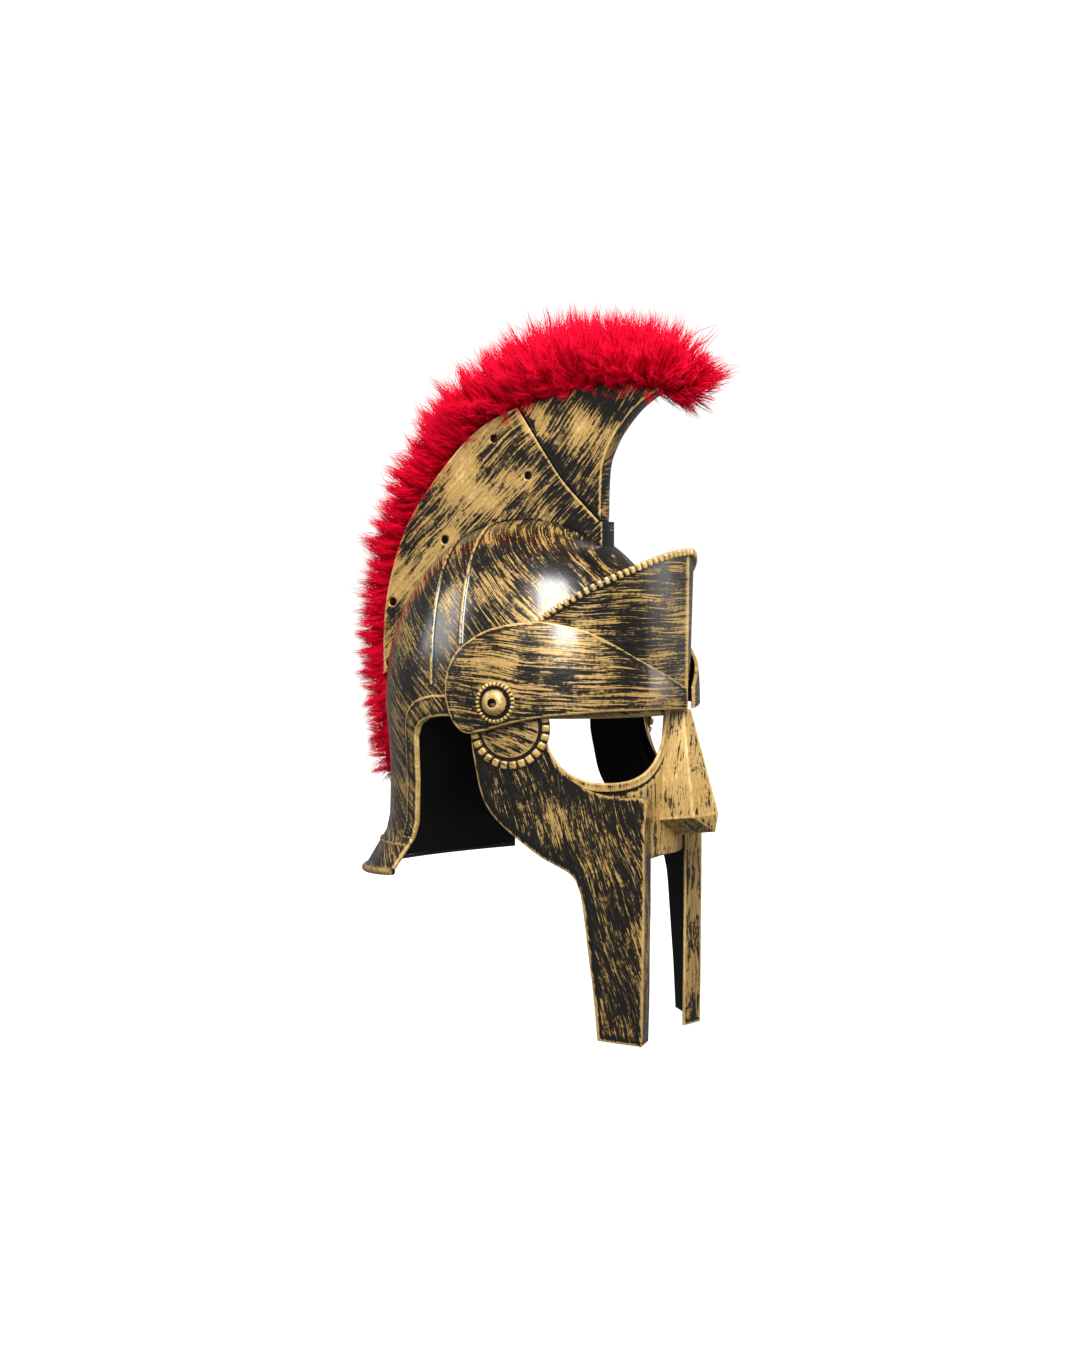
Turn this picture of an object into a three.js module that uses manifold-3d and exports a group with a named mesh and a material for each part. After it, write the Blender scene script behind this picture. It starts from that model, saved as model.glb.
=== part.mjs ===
// Gladiator helmet: moulded skull with a neck guard, crest fin, feather plume, keeled brow plate,
// two brow band lobes, face mask with a nose, hanging cheek guards, ear discs and rosettes.
// Millimetres, +Z up, the face looks along -Y, the wearer's right is -X.
// Heights in the tables are taken from the dome's widest level.
// The finished pieces are lowered so that the origin is inside the top of the dome.
import * as THREE from 'three';
import { ConvexGeometry } from 'three/addons/geometries/ConvexGeometry.js';
import { mergeVertices } from 'three/addons/utils/BufferGeometryUtils.js';
import Module from 'manifold-3d';

const wasm = await Module();
wasm.setup();

const FIT = 0.4;
const WALL = 2.4;
const PLATE = 2;

// Skull: an oval dome whose side profile is a little fuller than an ellipse
const SKULL = { halfWidth: 90, reach: 111.5, height: 131, fullness: 2.1, rimZ: -7 };
const SKULL_COLUMNS = 44;
const SKULL_ROWS = 9;

// Neck guard below the ear line: how far each level stands out, and where its front edge turns
const NECK = [
  { z: -9, out: -0.4, edgeTurn: 109 },
  { z: -14, out: -0.8, edgeTurn: 114.5 },
  { z: -24, out: -1.9, edgeTurn: 117.5 },
  { z: -54, out: -3.6, edgeTurn: 118 },
  { z: -84, out: -2.8, edgeTurn: 118 },
  { z: -96, out: -0.2, edgeTurn: 118.5 },
  { z: -105, out: 5, edgeTurn: 119 },
  { z: -119, out: 13, edgeTurn: 120 },
  { z: -124.5, out: 16.5, edgeTurn: 120 },
];
const NECK_TOP_TURN = 102;
// The lip climbs towards its two front corners
const LIP_CLIMB = { from: -84, rise: 6 };

// Raised border round the ear cut-out: its edge and its inner line
const BORDER_RAISE = 1.4;
const BORDER = [
  { edgeTurn: 94, edgeZ: -7, lineTurn: 95, lineZ: 8 },
  { edgeTurn: 102, edgeZ: -7, lineTurn: 108, lineZ: 7 },
  { edgeTurn: 109, edgeZ: -9, lineTurn: 117, lineZ: 2 },
  { edgeTurn: 114.5, edgeZ: -14, lineTurn: 122, lineZ: -7 },
  { edgeTurn: 117.5, edgeZ: -24, lineTurn: 124.5, lineZ: -21 },
  { edgeTurn: 118, edgeZ: -54, lineTurn: 125, lineZ: -54 },
  { edgeTurn: 118, edgeZ: -84, lineTurn: 125, lineZ: -84 },
  { edgeTurn: 118.5, edgeZ: -96, lineTurn: 126, lineZ: -96 },
];

// Ribs over the dome: forward reach at the crest and at the ear, and the tilts they start and stop at
const RIBS = [
  { topForward: -48, lowForward: -34, topTilt: 9, lowTilt: 84 },
  { topForward: -25, lowForward: -11, topTilt: 8, lowTilt: 72 },
];
const RIB = { foot: 4.4, crown: 2, height: 1.6, steps: 10 };
const LIP_RADIUS = 2.6;

// Crest fin in the middle plane
const CREST = { half: 9, frontHalf: 7.6, footHalf: 10, wall: 2.4, holeRadius: 2.6, rimSteps: 16 };
const CREST_RIM = [
  { f: -7.5, z: 211.2 }, { f: -33, z: 200.3 }, { f: -54.5, z: 184 }, { f: -80, z: 156 },
  { f: -98.5, z: 130 }, { f: -111, z: 101 }, { f: -118.5, z: 72 }, { f: -121, z: 45 }, { f: -121, z: 16 },
];
const CREST_SEAM = [{ f: 58, z: 129.5 }, { f: 32.3, z: 155 }, { f: 18.6, z: 173 }, { f: 4.8, z: 193 }];
const CREST_TOP = [
  { f: -6, z: 211.7 }, { f: 24, z: 219 }, { f: 46, z: 224 }, { f: 75, z: 225.8 }, { f: 104, z: 223.6 },
];
const CREST_BROW = [
  { f: 103.5, z: 220 }, { f: 87, z: 209.2 }, { f: 73.6, z: 194.7 }, { f: 65, z: 180.8 }, { f: 60, z: 164.6 },
  { f: 58.8, z: 130.2 },
];
const CREST_FOOT = { back: 49, front: 61.5, top: 128.6 };
const CREST_HOLES = [
  { f: -26.5, z: 189 }, { f: 1.5, z: 162 }, { f: -67.6, z: 116 }, { f: -112.5, z: 70 }, { f: -115.6, z: 24 },
];

// Feather plume: its middle line, half height and half width, from the front tip to the nape
const PLUME = [
  { f: 128, z: 226, half: 15, width: 15 },
  { f: 110, z: 238, half: 24, width: 24 },
  { f: 77, z: 246, half: 28, width: 28 },
  { f: 38, z: 247, half: 29, width: 29 },
  { f: 0, z: 239, half: 29, width: 29 },
  { f: -37, z: 222, half: 27, width: 27 },
  { f: -69, z: 197, half: 24, width: 25 },
  { f: -97, z: 161, half: 21, width: 22 },
  { f: -118, z: 120, half: 18, width: 20 },
  { f: -129.5, z: 75, half: 15.5, width: 19 },
  { f: -132.5, z: 28, half: 14, width: 18 },
  { f: -128, z: -18, half: 12, width: 15 },
  { f: -124, z: -58, half: 8, width: 10 },
];
const LOCKS = { count: 68, sides: 4, root: 9, reach: 10, sweep: 6, core: 0.86 };

// Upright plates follow plan curves: half distance across and forward reach, from the front backwards
const PLANS = {
  plateTop: [[0, 124.5], [30, 114.5], [57, 96.5], [72.5, 71], [74.6, 45]],
  plateFoot: [[0, 123.6], [38, 107], [68, 78], [78, 48]],
  band: [[1.5, 128], [44, 113], [79.5, 78.5], [96, 36], [98.6, 8], [96, -20]],
  mask: [[0, 115.6], [32, 105.5], [57, 87], [75, 61], [84.5, 42]],
  guard: [[47.5, 115], [61, 95], [76.5, 68], [87.5, 43], [92.2, 20], [92.4, -6]],
};

// Brow plate: height of its beaded edge and of its hidden foot, by share of the way round
const BROW_EDGE = [[0, 108.5], [0.2, 105], [0.42, 97], [0.6, 88.5], [0.78, 77], [1, 61.5]];
const BROW_FOOT = [[0, -2.5], [0.5, 14], [1, 46]];
const BROW_BEADS = { count: 26, long: 3.1, tall: 4.4, proud: 1.5 };

// Brow band lobe: length along its plan, lower and upper edge
const BAND = [
  { s: 5, low: -2.5, top: 12.5 }, { s: 31, low: -1.6, top: 25 }, { s: 50, low: -1.5, top: 34 },
  { s: 70, low: -1.6, top: 45 }, { s: 90, low: -2.6, top: 54 }, { s: 115, low: -4.7, top: 59.5 },
  { s: 130, low: -7, top: 60 }, { s: 147, low: -11, top: 58 }, { s: 164, low: -15.8, top: 54 },
  { s: 177, low: -17.6, top: 47 }, { s: 186, low: -12.5, top: 40.5 }, { s: 192, low: -3, top: 31 },
  { s: 195, low: 8, top: 20 },
];
const BAND_THICK = 3;
const ROSETTE = { s: 153.5, z: 4.5, radius: 14, dome: 10.4, ring: 2.2, crown: 5.8, hole: 3 };

// Face mask: eye openings and wedge-shaped nose
const EYE = { s: 61, z: 0, half: 47, depth: 51.5, fullness: 2.4, rim: 6, raise: 1 };
const MASK = [
  { s: 0, low: -104, top: 4 }, { s: 13, low: -105, top: 4 }, { s: 15, low: -105, top: -7.7 },
  { s: 40, low: -106, top: -7.7 }, { s: 62, low: -92, top: -7.7 }, { s: 85, low: -74, top: -7.7 },
  { s: 108, low: -44, top: -7.7 }, { s: 114, low: -34, top: -7.7 },
];
const NOSE = {
  ridge: [[0, 126, -4], [0, 147.4, -74.6], [0, 145, -88]],
  crease: [[4, 122.5, -4], [14, 134.5, -77]],
  root: [[12, 111, -4], [19, 107, -80]],
  keel: [[0, 111, -92.5]],
  hollow: 0.8,
};

// Cheek guard rows: rear edge and front edge on its plan, then how the front flange turns in
const GUARD = [
  { rearS: 124, rearZ: -9, frontS: 68.5, frontZ: -9, turnIn: 0, depth: 2.6 },
  { rearS: 124.5, rearZ: -25.5, frontS: 69.5, frontZ: -24, turnIn: 0, depth: 2.6 },
  { rearS: 121, rearZ: -44, frontS: 62.5, frontZ: -40, turnIn: 0, depth: 3 },
  { rearS: 117.4, rearZ: -58.5, frontS: 51, frontZ: -50, turnIn: 0, depth: 3.4 },
  { rearS: 111, rearZ: -70.5, frontS: 37, frontZ: -57, turnIn: 0, depth: 4 },
  { rearS: 102, rearZ: -80, frontS: 20.5, frontZ: -61, turnIn: 0, depth: 4.4 },
  { rearS: 89, rearZ: -90.5, frontS: 1.8, frontZ: -63.5, turnIn: 19.5, depth: 4 },
  { rearS: 73.3, rearZ: -102, frontS: 2, frontZ: -82.5, turnIn: 19.5, depth: 4 },
  { rearS: 53.4, rearZ: -113.5, frontS: 2, frontZ: -103, turnIn: 19.5, depth: 4 },
  { rearS: 47.5, rearZ: -123.5, frontS: 2, frontZ: -123.5, turnIn: 19.5, depth: 4 },
  { rearS: 44.7, rearZ: -136.5, frontS: 2, frontZ: -140.5, turnIn: 19.5, depth: 4 },
  { rearS: 40.6, rearZ: -169.5, frontS: 2.5, frontZ: -171, turnIn: 19.5, depth: 4 },
  { rearS: 37.3, rearZ: -196, frontS: 2.7, frontZ: -199, turnIn: 19.5, depth: 4 },
  { rearS: 34.3, rearZ: -229, frontS: 3.4, frontZ: -234, turnIn: 19.5, depth: 4 },
];
const GUARD_COLUMNS = 6;

// Ear disc on the cheek guard's plan, with blocks round its rim
const DISC = {
  s: 95.5, z: -13, radius: 28.5, plate: 1.2, rim: 5, blocks: 26, blockShare: 0.72, height: 2.4,
};

const GOLD = 0xb08d45;
const RED = 0xc00022;

const at = (x, forward, z) => new THREE.Vector3(x, -forward, z);
const mix = (a, b, t) => a + (b - a) * t;
const plans = {};
for (const [name, points] of Object.entries(PLANS)) {
  plans[name] = new THREE.SplineCurve(points.map(([x, f]) => new THREE.Vector2(x, f)));
}

// Value read off a table of rows by straight lines between them
function readRow(rows, key, value, wanted) {
  let i = 1;
  while (i < rows.length - 1 && rows[i][key] < value) i += 1;
  const [a, b] = [rows[i - 1], rows[i]];
  const share = THREE.MathUtils.clamp((value - a[key]) / (b[key] - a[key]), 0, 1);
  return mix(a[wanted], b[wanted], share);
}

// Smooth value read off a short list of [place, value] pairs
function readSmooth(pairs, place) {
  const curve = new THREE.SplineCurve(pairs.map(([x, y]) => new THREE.Vector2(x, y)));
  const samples = curve.getPoints(60).map((p) => ({ place: p.x, value: p.y }));
  return readRow(samples, 'place', place, 'value');
}

// Point on an upright plate: length along the plan, height, standing out, and which side of the head
function wrap(plan, length, z, out, side) {
  const share = THREE.MathUtils.clamp(length / plan.getLength(), 0, 1);
  const p = plan.getPointAt(share);
  const t = plan.getTangentAt(share);
  return at(side * (p.x - t.y * out), p.y + t.x * out, z);
}

// Skull point by turn round the head from the front (degrees), climb to the apex (degrees) and offset
function skullPoint(turn, climb, out) {
  const a = THREE.MathUtils.degToRad(turn);
  const c = THREE.MathUtils.degToRad(climb);
  const spread = Math.max(Math.cos(c), 0) ** (2 / SKULL.fullness);
  const rise = Math.sin(c) ** (2 / SKULL.fullness);
  const x = (SKULL.halfWidth + out) * spread * Math.sin(a);
  return at(x, (SKULL.reach + out) * spread * Math.cos(a), (SKULL.height + out) * rise);
}

// Wall point below the dome's widest level
function wallPoint(turn, z, out) {
  const a = THREE.MathUtils.degToRad(turn);
  return at((SKULL.halfWidth + out) * Math.sin(a), (SKULL.reach + out) * Math.cos(a), z);
}

// Point on the dome or the wall under it, at a height
function headPoint(turn, z, out) {
  if (z <= 0) return wallPoint(turn, z, out + (z < SKULL.rimZ ? readNeck(z) : 0));
  const rise = (z / SKULL.height) ** (SKULL.fullness / 2);
  return skullPoint(turn, THREE.MathUtils.radToDeg(Math.asin(Math.min(rise, 1))), out);
}

// Height of a neck guard level, which climbs a little away from the middle of the back
function neckHeight(z, fromBack) {
  const low = NECK[NECK.length - 1].z;
  const share = Math.max(0, (LIP_CLIMB.from - z) / (LIP_CLIMB.from - low));
  return z + LIP_CLIMB.rise * share * (fromBack / 60) ** 2;
}

function readNeck(z) {
  const rows = NECK.map((row) => ({ depth: -row.z, out: row.out }));
  return readRow([{ depth: -SKULL.rimZ, out: 0 }, ...rows], 'depth', -z, 'out');
}

// Geometry from points and triangles that number them
function indexed(points, index) {
  const geometry = new THREE.BufferGeometry();
  const positions = points.flatMap((p) => [p.x, p.y, p.z]);
  geometry.setAttribute('position', new THREE.Float32BufferAttribute(positions, 3));
  geometry.setIndex(index);
  return geometry;
}

// Closed geometry from an outer sheet, the inner sheet behind it and their shared faces
function solidFromSheets(outer, inner, faces) {
  const count = outer.length;
  const index = [];
  const edges = new Map();
  for (const face of faces) {
    for (let i = 1; i < face.length - 1; i += 1) {
      index.push(face[0], face[i], face[i + 1]);
      index.push(count + face[0], count + face[i + 1], count + face[i]);
    }
    face.forEach((a, i) => {
      const b = face[(i + 1) % face.length];
      if (edges.has(`${b}_${a}`)) edges.delete(`${b}_${a}`);
      else edges.set(`${a}_${b}`, [a, b]);
    });
  }
  for (const [a, b] of edges.values()) index.push(b, a, count + a, b, count + a, count + b);
  return indexed([...outer, ...inner], index);
}

// Faces of a rows-by-columns grid of points, numbered row by row
function gridFaces(rows, columns, closed = false) {
  const faces = [];
  const last = closed ? columns : columns - 1;
  for (let r = 0; r < rows - 1; r += 1) {
    for (let c = 0; c < last; c += 1) {
      const d = (c + 1) % columns;
      faces.push([r * columns + c, (r + 1) * columns + c, (r + 1) * columns + d, r * columns + d]);
    }
  }
  return faces;
}

// Points moved back along the averaged normals of their sheet
function inset(points, faces, depth) {
  const normals = points.map(() => new THREE.Vector3());
  for (const face of faces) {
    const [a, b, c, d] = [0, 1, 2, face.length - 1].map((i) => points[face[i]]);
    const normal = c.clone().sub(a).cross(d.clone().sub(b));
    for (const i of face) normals[i].add(normal);
  }
  return points.map((p, i) => p.clone().addScaledVector(normals[i].normalize(), -depth));
}

// Closed tube through rings of points, with flat ends
function tubeSolid(rings) {
  const sides = rings[0].length;
  const index = [];
  for (const [a, b, c, d] of gridFaces(rings.length, sides, true)) index.push(a, b, c, a, c, d);
  const end = (rings.length - 1) * sides;
  for (let i = 1; i < sides - 1; i += 1) {
    index.push(0, i, i + 1);
    index.push(end, end + i + 1, end + i);
  }
  return indexed(rings.flat(), index);
}

// Closed solid from geometry, turned right side out
function solid(geometry) {
  const bare = new THREE.BufferGeometry();
  bare.setAttribute('position', geometry.getAttribute('position'));
  bare.setIndex(geometry.getIndex());
  const welded = mergeVertices(bare, 1e-4);
  const index = [];
  const source = welded.getIndex().array;
  for (let i = 0; i < source.length; i += 3) {
    const [a, b, c] = [source[i], source[i + 1], source[i + 2]];
    if (a !== b && b !== c && a !== c) index.push(a, b, c);
  }
  if (volumeOf(welded.getAttribute('position'), index) < 0) index.reverse();
  return new wasm.Manifold(new wasm.Mesh({
    numProp: 3,
    vertProperties: new Float32Array(welded.getAttribute('position').array),
    triVerts: new Uint32Array(index),
  }));
}

function volumeOf(position, index) {
  const [a, b, c] = [new THREE.Vector3(), new THREE.Vector3(), new THREE.Vector3()];
  let volume = 0;
  for (let i = 0; i < index.length; i += 3) {
    a.fromBufferAttribute(position, index[i]);
    b.fromBufferAttribute(position, index[i + 1]);
    c.fromBufferAttribute(position, index[i + 2]);
    volume += a.dot(b.cross(c));
  }
  return volume;
}

function meshOf(name, manifold, color, roughness, metalness) {
  const data = manifold.getMesh();
  const geometry = new THREE.BufferGeometry();
  geometry.setAttribute('position', new THREE.Float32BufferAttribute(data.vertProperties, 3));
  geometry.setIndex([...data.triVerts]);
  geometry.computeVertexNormals();
  const mesh = new THREE.Mesh(geometry, new THREE.MeshStandardMaterial({ color, roughness, metalness }));
  mesh.name = name;
  return mesh;
}

// Whole dome as a solid lump, for seating the pieces that stand on it
function skullLump(out, low = -140) {
  const points = [];
  const rows = SKULL_ROWS + 2;
  for (let r = 0; r < rows; r += 1) {
    for (let c = 0; c < SKULL_COLUMNS; c += 1) {
      const turn = (c * 360) / SKULL_COLUMNS;
      const climb = 90 * (1 - r / (SKULL_ROWS - 1));
      if (r < SKULL_ROWS) points.push(skullPoint(turn, climb, out));
      else if (r === SKULL_ROWS) points.push(wallPoint(turn, low, out));
      else points.push(at(0, 0, low));
    }
  }
  const index = gridFaces(rows, SKULL_COLUMNS, true).flatMap(([a, b, c, d]) => [a, b, c, a, c, d]);
  return solid(indexed(points, index));
}

// Turn of a skull column away from the middle of the back
function columnTurn(column) {
  return (column * 360) / SKULL_COLUMNS - 180;
}

// Dome rows run all the way round; the neck guard carries on below from the columns at the back
function skullShell() {
  const sheet = (out) => {
    const points = [];
    for (let r = 0; r <= SKULL_ROWS; r += 1) {
      for (let c = 0; c < SKULL_COLUMNS; c += 1) {
        const turn = (c * 360) / SKULL_COLUMNS;
        const climb = 90 * (1 - r / (SKULL_ROWS - 1));
        points.push(r < SKULL_ROWS ? skullPoint(turn, climb, out) : wallPoint(turn, SKULL.rimZ, out));
      }
    }
    for (const row of NECK) {
      for (let c = 0; c < SKULL_COLUMNS; c += 1) {
        const squeeze = (180 - row.edgeTurn) / (180 - NECK_TOP_TURN);
        const fromBack = columnTurn(c) * squeeze;
        points.push(wallPoint(180 + fromBack, neckHeight(row.z, fromBack), out + row.out));
      }
    }
    return points;
  };
  const rows = SKULL_ROWS + 1 + NECK.length;
  const faces = gridFaces(rows, SKULL_COLUMNS, true).filter((face) => {
    if (Math.min(...face) < SKULL_ROWS * SKULL_COLUMNS) return true;
    return face.every((i) => Math.abs(columnTurn(i % SKULL_COLUMNS)) <= 180 - NECK_TOP_TURN);
  });
  const outer = sheet(0);
  const inner = sheet(-WALL);
  for (let c = 0; c < SKULL_COLUMNS; c += 1) {
    outer[c] = at(0, 0, SKULL.height);
    inner[c] = at(0, 0, SKULL.height - WALL);
  }
  let shell = solid(solidFromSheets(outer, inner, faces));
  for (const side of [1, -1]) {
    for (const rib of RIBS) shell = shell.add(solid(ribGeometry(rib, side)));
    shell = shell.add(solid(borderGeometry(side)));
  }
  return shell.add(solid(lipGeometry()));
}

function ribGeometry(rib, side) {
  const rings = [];
  for (let i = 0; i <= RIB.steps; i += 1) {
    const t = i / RIB.steps;
    const f = mix(rib.topForward, rib.lowForward, t);
    const tilt = THREE.MathUtils.degToRad(mix(rib.topTilt, rib.lowTilt, t));
    const slice = Math.sqrt(1 - (f / SKULL.reach) ** 2);
    const x = SKULL.halfWidth * slice * Math.sin(tilt);
    const spread = Math.hypot(x / SKULL.halfWidth, f / SKULL.reach);
    const z = SKULL.height * (1 - spread ** SKULL.fullness) ** (1 / SKULL.fullness);
    const normal = at(x / SKULL.halfWidth ** 2, f / SKULL.reach ** 2, z / SKULL.height ** 2).normalize();
    const across = at(0, 1, 0).addScaledVector(normal, -at(0, 1, 0).dot(normal)).normalize();
    const corner = (w, h) => at(x, f, z).addScaledVector(across, w).addScaledVector(normal, h);
    const ring = [
      corner(-RIB.foot / 2, -1), corner(RIB.foot / 2, -1),
      corner(RIB.crown / 2, RIB.height), corner(-RIB.crown / 2, RIB.height),
    ];
    ring.forEach((p) => p.setX(side * p.x));
    rings.push(ring);
  }
  return tubeSolid(rings);
}

function borderGeometry(side) {
  const sheet = (out) => BORDER.flatMap((row) => [0, 0.5, 1].map((t) => {
    const turn = mix(row.edgeTurn, row.lineTurn, t);
    return headPoint(side * turn, mix(row.edgeZ, row.lineZ, t), out);
  }));
  return solidFromSheets(sheet(BORDER_RAISE), sheet(-1.2), gridFaces(BORDER.length, 3));
}

function lipGeometry() {
  const low = NECK[NECK.length - 1];
  const rings = [];
  for (let i = 0; i <= 18; i += 1) {
    const turn = mix(low.edgeTurn, 360 - low.edgeTurn, i / 18);
    rings.push([0, 60, 120, 180, 240, 300].map((angle) => {
      const a = THREE.MathUtils.degToRad(angle);
      const height = neckHeight(low.z, turn - 180) + LIP_RADIUS * Math.sin(a);
      return wallPoint(turn, height, low.out - 1 + LIP_RADIUS * Math.cos(a));
    }));
  }
  return tubeSolid(rings);
}

// Flat outline in the middle plane, drawn as forward reach and height, given a thickness across
function finSolid(outline, half) {
  const shape = new THREE.Shape(outline.map((p) => new THREE.Vector2(p.f, p.z)));
  const geometry = new THREE.ExtrudeGeometry(shape, { depth: 2 * half, bevelEnabled: false, steps: 1 });
  geometry.translate(0, 0, -half);
  const axes = new THREE.Matrix4().makeBasis(at(0, 1, 0), at(0, 0, 1), at(-1, 0, 0));
  geometry.applyMatrix4(axes);
  return solid(mergeVertices(geometry));
}

function smoothRow(rows, count) {
  const curve = new THREE.SplineCurve(rows.map((p) => new THREE.Vector2(p.f, p.z)));
  return curve.getSpacedPoints(count).map((p) => ({ f: p.x, z: p.y }));
}

// Outline moved inwards along its own normals
function shrink(outline, depth) {
  const turnArea = outline.reduce((sum, p, i) => {
    const q = outline[(i + 1) % outline.length];
    return sum + p.f * q.z - q.f * p.z;
  }, 0);
  return outline.map((p, i) => {
    const a = outline[(i + outline.length - 1) % outline.length];
    const b = outline[(i + 1) % outline.length];
    const along = new THREE.Vector2(b.f - a.f, b.z - a.z).normalize();
    const inward = Math.sign(turnArea) * depth;
    return { f: p.f - along.y * inward, z: p.z + along.x * inward };
  });
}

function crestRearOutline() {
  const hidden = [
    { f: -112, z: 14 }, { f: -80, z: 60 }, { f: -30, z: 90 }, { f: 30, z: 90 }, { f: 58, z: 90 },
  ];
  return [...smoothRow(CREST_RIM, CREST.rimSteps), ...hidden, ...CREST_SEAM];
}

function crestRear() {
  const outline = crestRearOutline();
  const deep = [{ f: -108, z: 4 }, { f: -80, z: 30 }, { f: 50, z: 30 }];
  const innerRim = shrink(outline, CREST.wall).slice(0, CREST.rimSteps + 1);
  const innerSeam = CREST_SEAM.map((p) => ({ f: p.f - CREST.wall, z: p.z - CREST.wall }));
  const foot = finSolid([
    { f: CREST_FOOT.back, z: 90 }, { f: CREST_FOOT.front, z: 90 },
    { f: CREST_FOOT.front, z: CREST_FOOT.top }, { f: CREST_FOOT.back, z: CREST_FOOT.top },
  ], CREST.footHalf);
  let fin = finSolid(outline, CREST.half).add(foot);
  fin = fin.subtract(finSolid([...innerRim, ...deep, ...innerSeam], CREST.half - CREST.wall));
  for (const hole of CREST_HOLES) fin = fin.subtract(holeSolid(hole));
  return fin.subtract(skullLump(FIT));
}

function holeSolid(hole) {
  const geometry = new THREE.CylinderGeometry(CREST.holeRadius, CREST.holeRadius, 60, 12);
  geometry.rotateZ(Math.PI / 2);
  const place = at(0, hole.f, hole.z);
  geometry.translate(place.x, place.y, place.z);
  return solid(mergeVertices(new THREE.BufferGeometry().copy(geometry)));
}

function crestFrontOutline() {
  const seam = [{ f: 58, z: 130.2 }, ...CREST_SEAM.slice(1).map((p) => ({ f: p.f + FIT, z: p.z + FIT }))];
  return [...seam, ...smoothRow(CREST_TOP, 10), ...CREST_BROW];
}

function crestFront() {
  const innerSeam = CREST_SEAM.slice(1).map((p) => ({ f: p.f + CREST.wall, z: p.z + CREST.wall }));
  const innerBrow = CREST_BROW.slice(1, -1).map((p) => ({ f: p.f - CREST.wall - 1, z: p.z + 1 }));
  const above = [{ f: 4, z: 240 }, { f: 80, z: 240 }];
  const cavity = finSolid([...innerSeam, ...above, ...innerBrow], CREST.frontHalf - CREST.wall);
  return finSolid(crestFrontOutline(), CREST.frontHalf).subtract(cavity);
}

// Plume: a tapering core along the crest's rim, with pointed locks fused all over it
function plumeSolid(crestLump) {
  const keys = ['f', 'z', 'half', 'width'];
  const stations = 19;
  const curve = (key) => new THREE.SplineCurve(PLUME.map((row, i) => new THREE.Vector2(i, row[key])));
  const curves = Object.fromEntries(keys.map((key) => [key, curve(key)]));
  const read = (t) => Object.fromEntries(keys.map((key) => [key, curves[key].getPoint(t).y]));
  const frame = (t) => {
    const here = read(t);
    const [a, b] = [read(Math.max(t - 0.01, 0)), read(Math.min(t + 0.01, 1))];
    const along = at(0, b.f - a.f, b.z - a.z).normalize();
    const away = new THREE.Vector3().crossVectors(at(1, 0, 0), along).negate();
    return { here, along, away, centre: at(0, here.f, here.z) };
  };
  const ring = (t, sides) => Array.from({ length: sides }, (_, i) => {
    const { here, away, centre } = frame(t);
    const a = (2 * Math.PI * i) / sides;
    return centre.clone().addScaledVector(away, here.half * LOCKS.core * Math.cos(a))
      .add(at(here.width * LOCKS.core * Math.sin(a), 0, 0));
  });
  let plume = solid(tubeSolid(Array.from({ length: stations }, (_, i) => ring(i / (stations - 1), 9))));
  const locks = [];
  for (let i = 0; i < LOCKS.count; i += 1) {
    const t = (i + 0.5) / LOCKS.count;
    const spin = THREE.MathUtils.degToRad(-125 + ((i * 137.5) % 250));
    const { here, along, away, centre } = frame(t);
    const out = away.clone().multiplyScalar(Math.cos(spin)).add(at(Math.sin(spin), 0, 0)).normalize();
    const surface = 1 / Math.hypot(Math.cos(spin) / here.half, Math.sin(spin) / here.width);
    const size = surface / 26;
    const root = centre.clone().addScaledVector(out, surface * 0.62);
    const sway = LOCKS.sweep * size * (1 + 0.6 * Math.sin(i * 2.4));
    const reach = LOCKS.reach * (0.35 + 0.45 * size) * (0.8 + 0.3 * Math.cos(i * 1.7));
    const tip = centre.clone().addScaledVector(out, surface + reach).addScaledVector(along, sway);
    const side = new THREE.Vector3().crossVectors(out, along).normalize();
    const base = Array.from({ length: LOCKS.sides }, (_, k) => {
      const a = (2 * Math.PI * k) / LOCKS.sides;
      const r = LOCKS.root * (0.45 + 0.75 * size);
      return root.clone().addScaledVector(along, r * Math.cos(a)).addScaledVector(side, r * Math.sin(a));
    });
    locks.push(solid(new ConvexGeometry([...base, tip])));
  }
  for (const lock of locks) plume = plume.add(lock);
  return plume.subtract(crestLump).subtract(skullLump(FIT + 0.2)).subtract(neckLump());
}

// Room for the neck guard behind the plume's lower end
function neckLump() {
  const rows = [{ z: 2, out: 0 }, ...NECK];
  const ring = (row) => Array.from({ length: 36 }, (_, c) => wallPoint(c * 10, row.z, row.out + FIT + 0.2));
  return solid(tubeSolid(rows.map(ring)));
}

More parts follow.
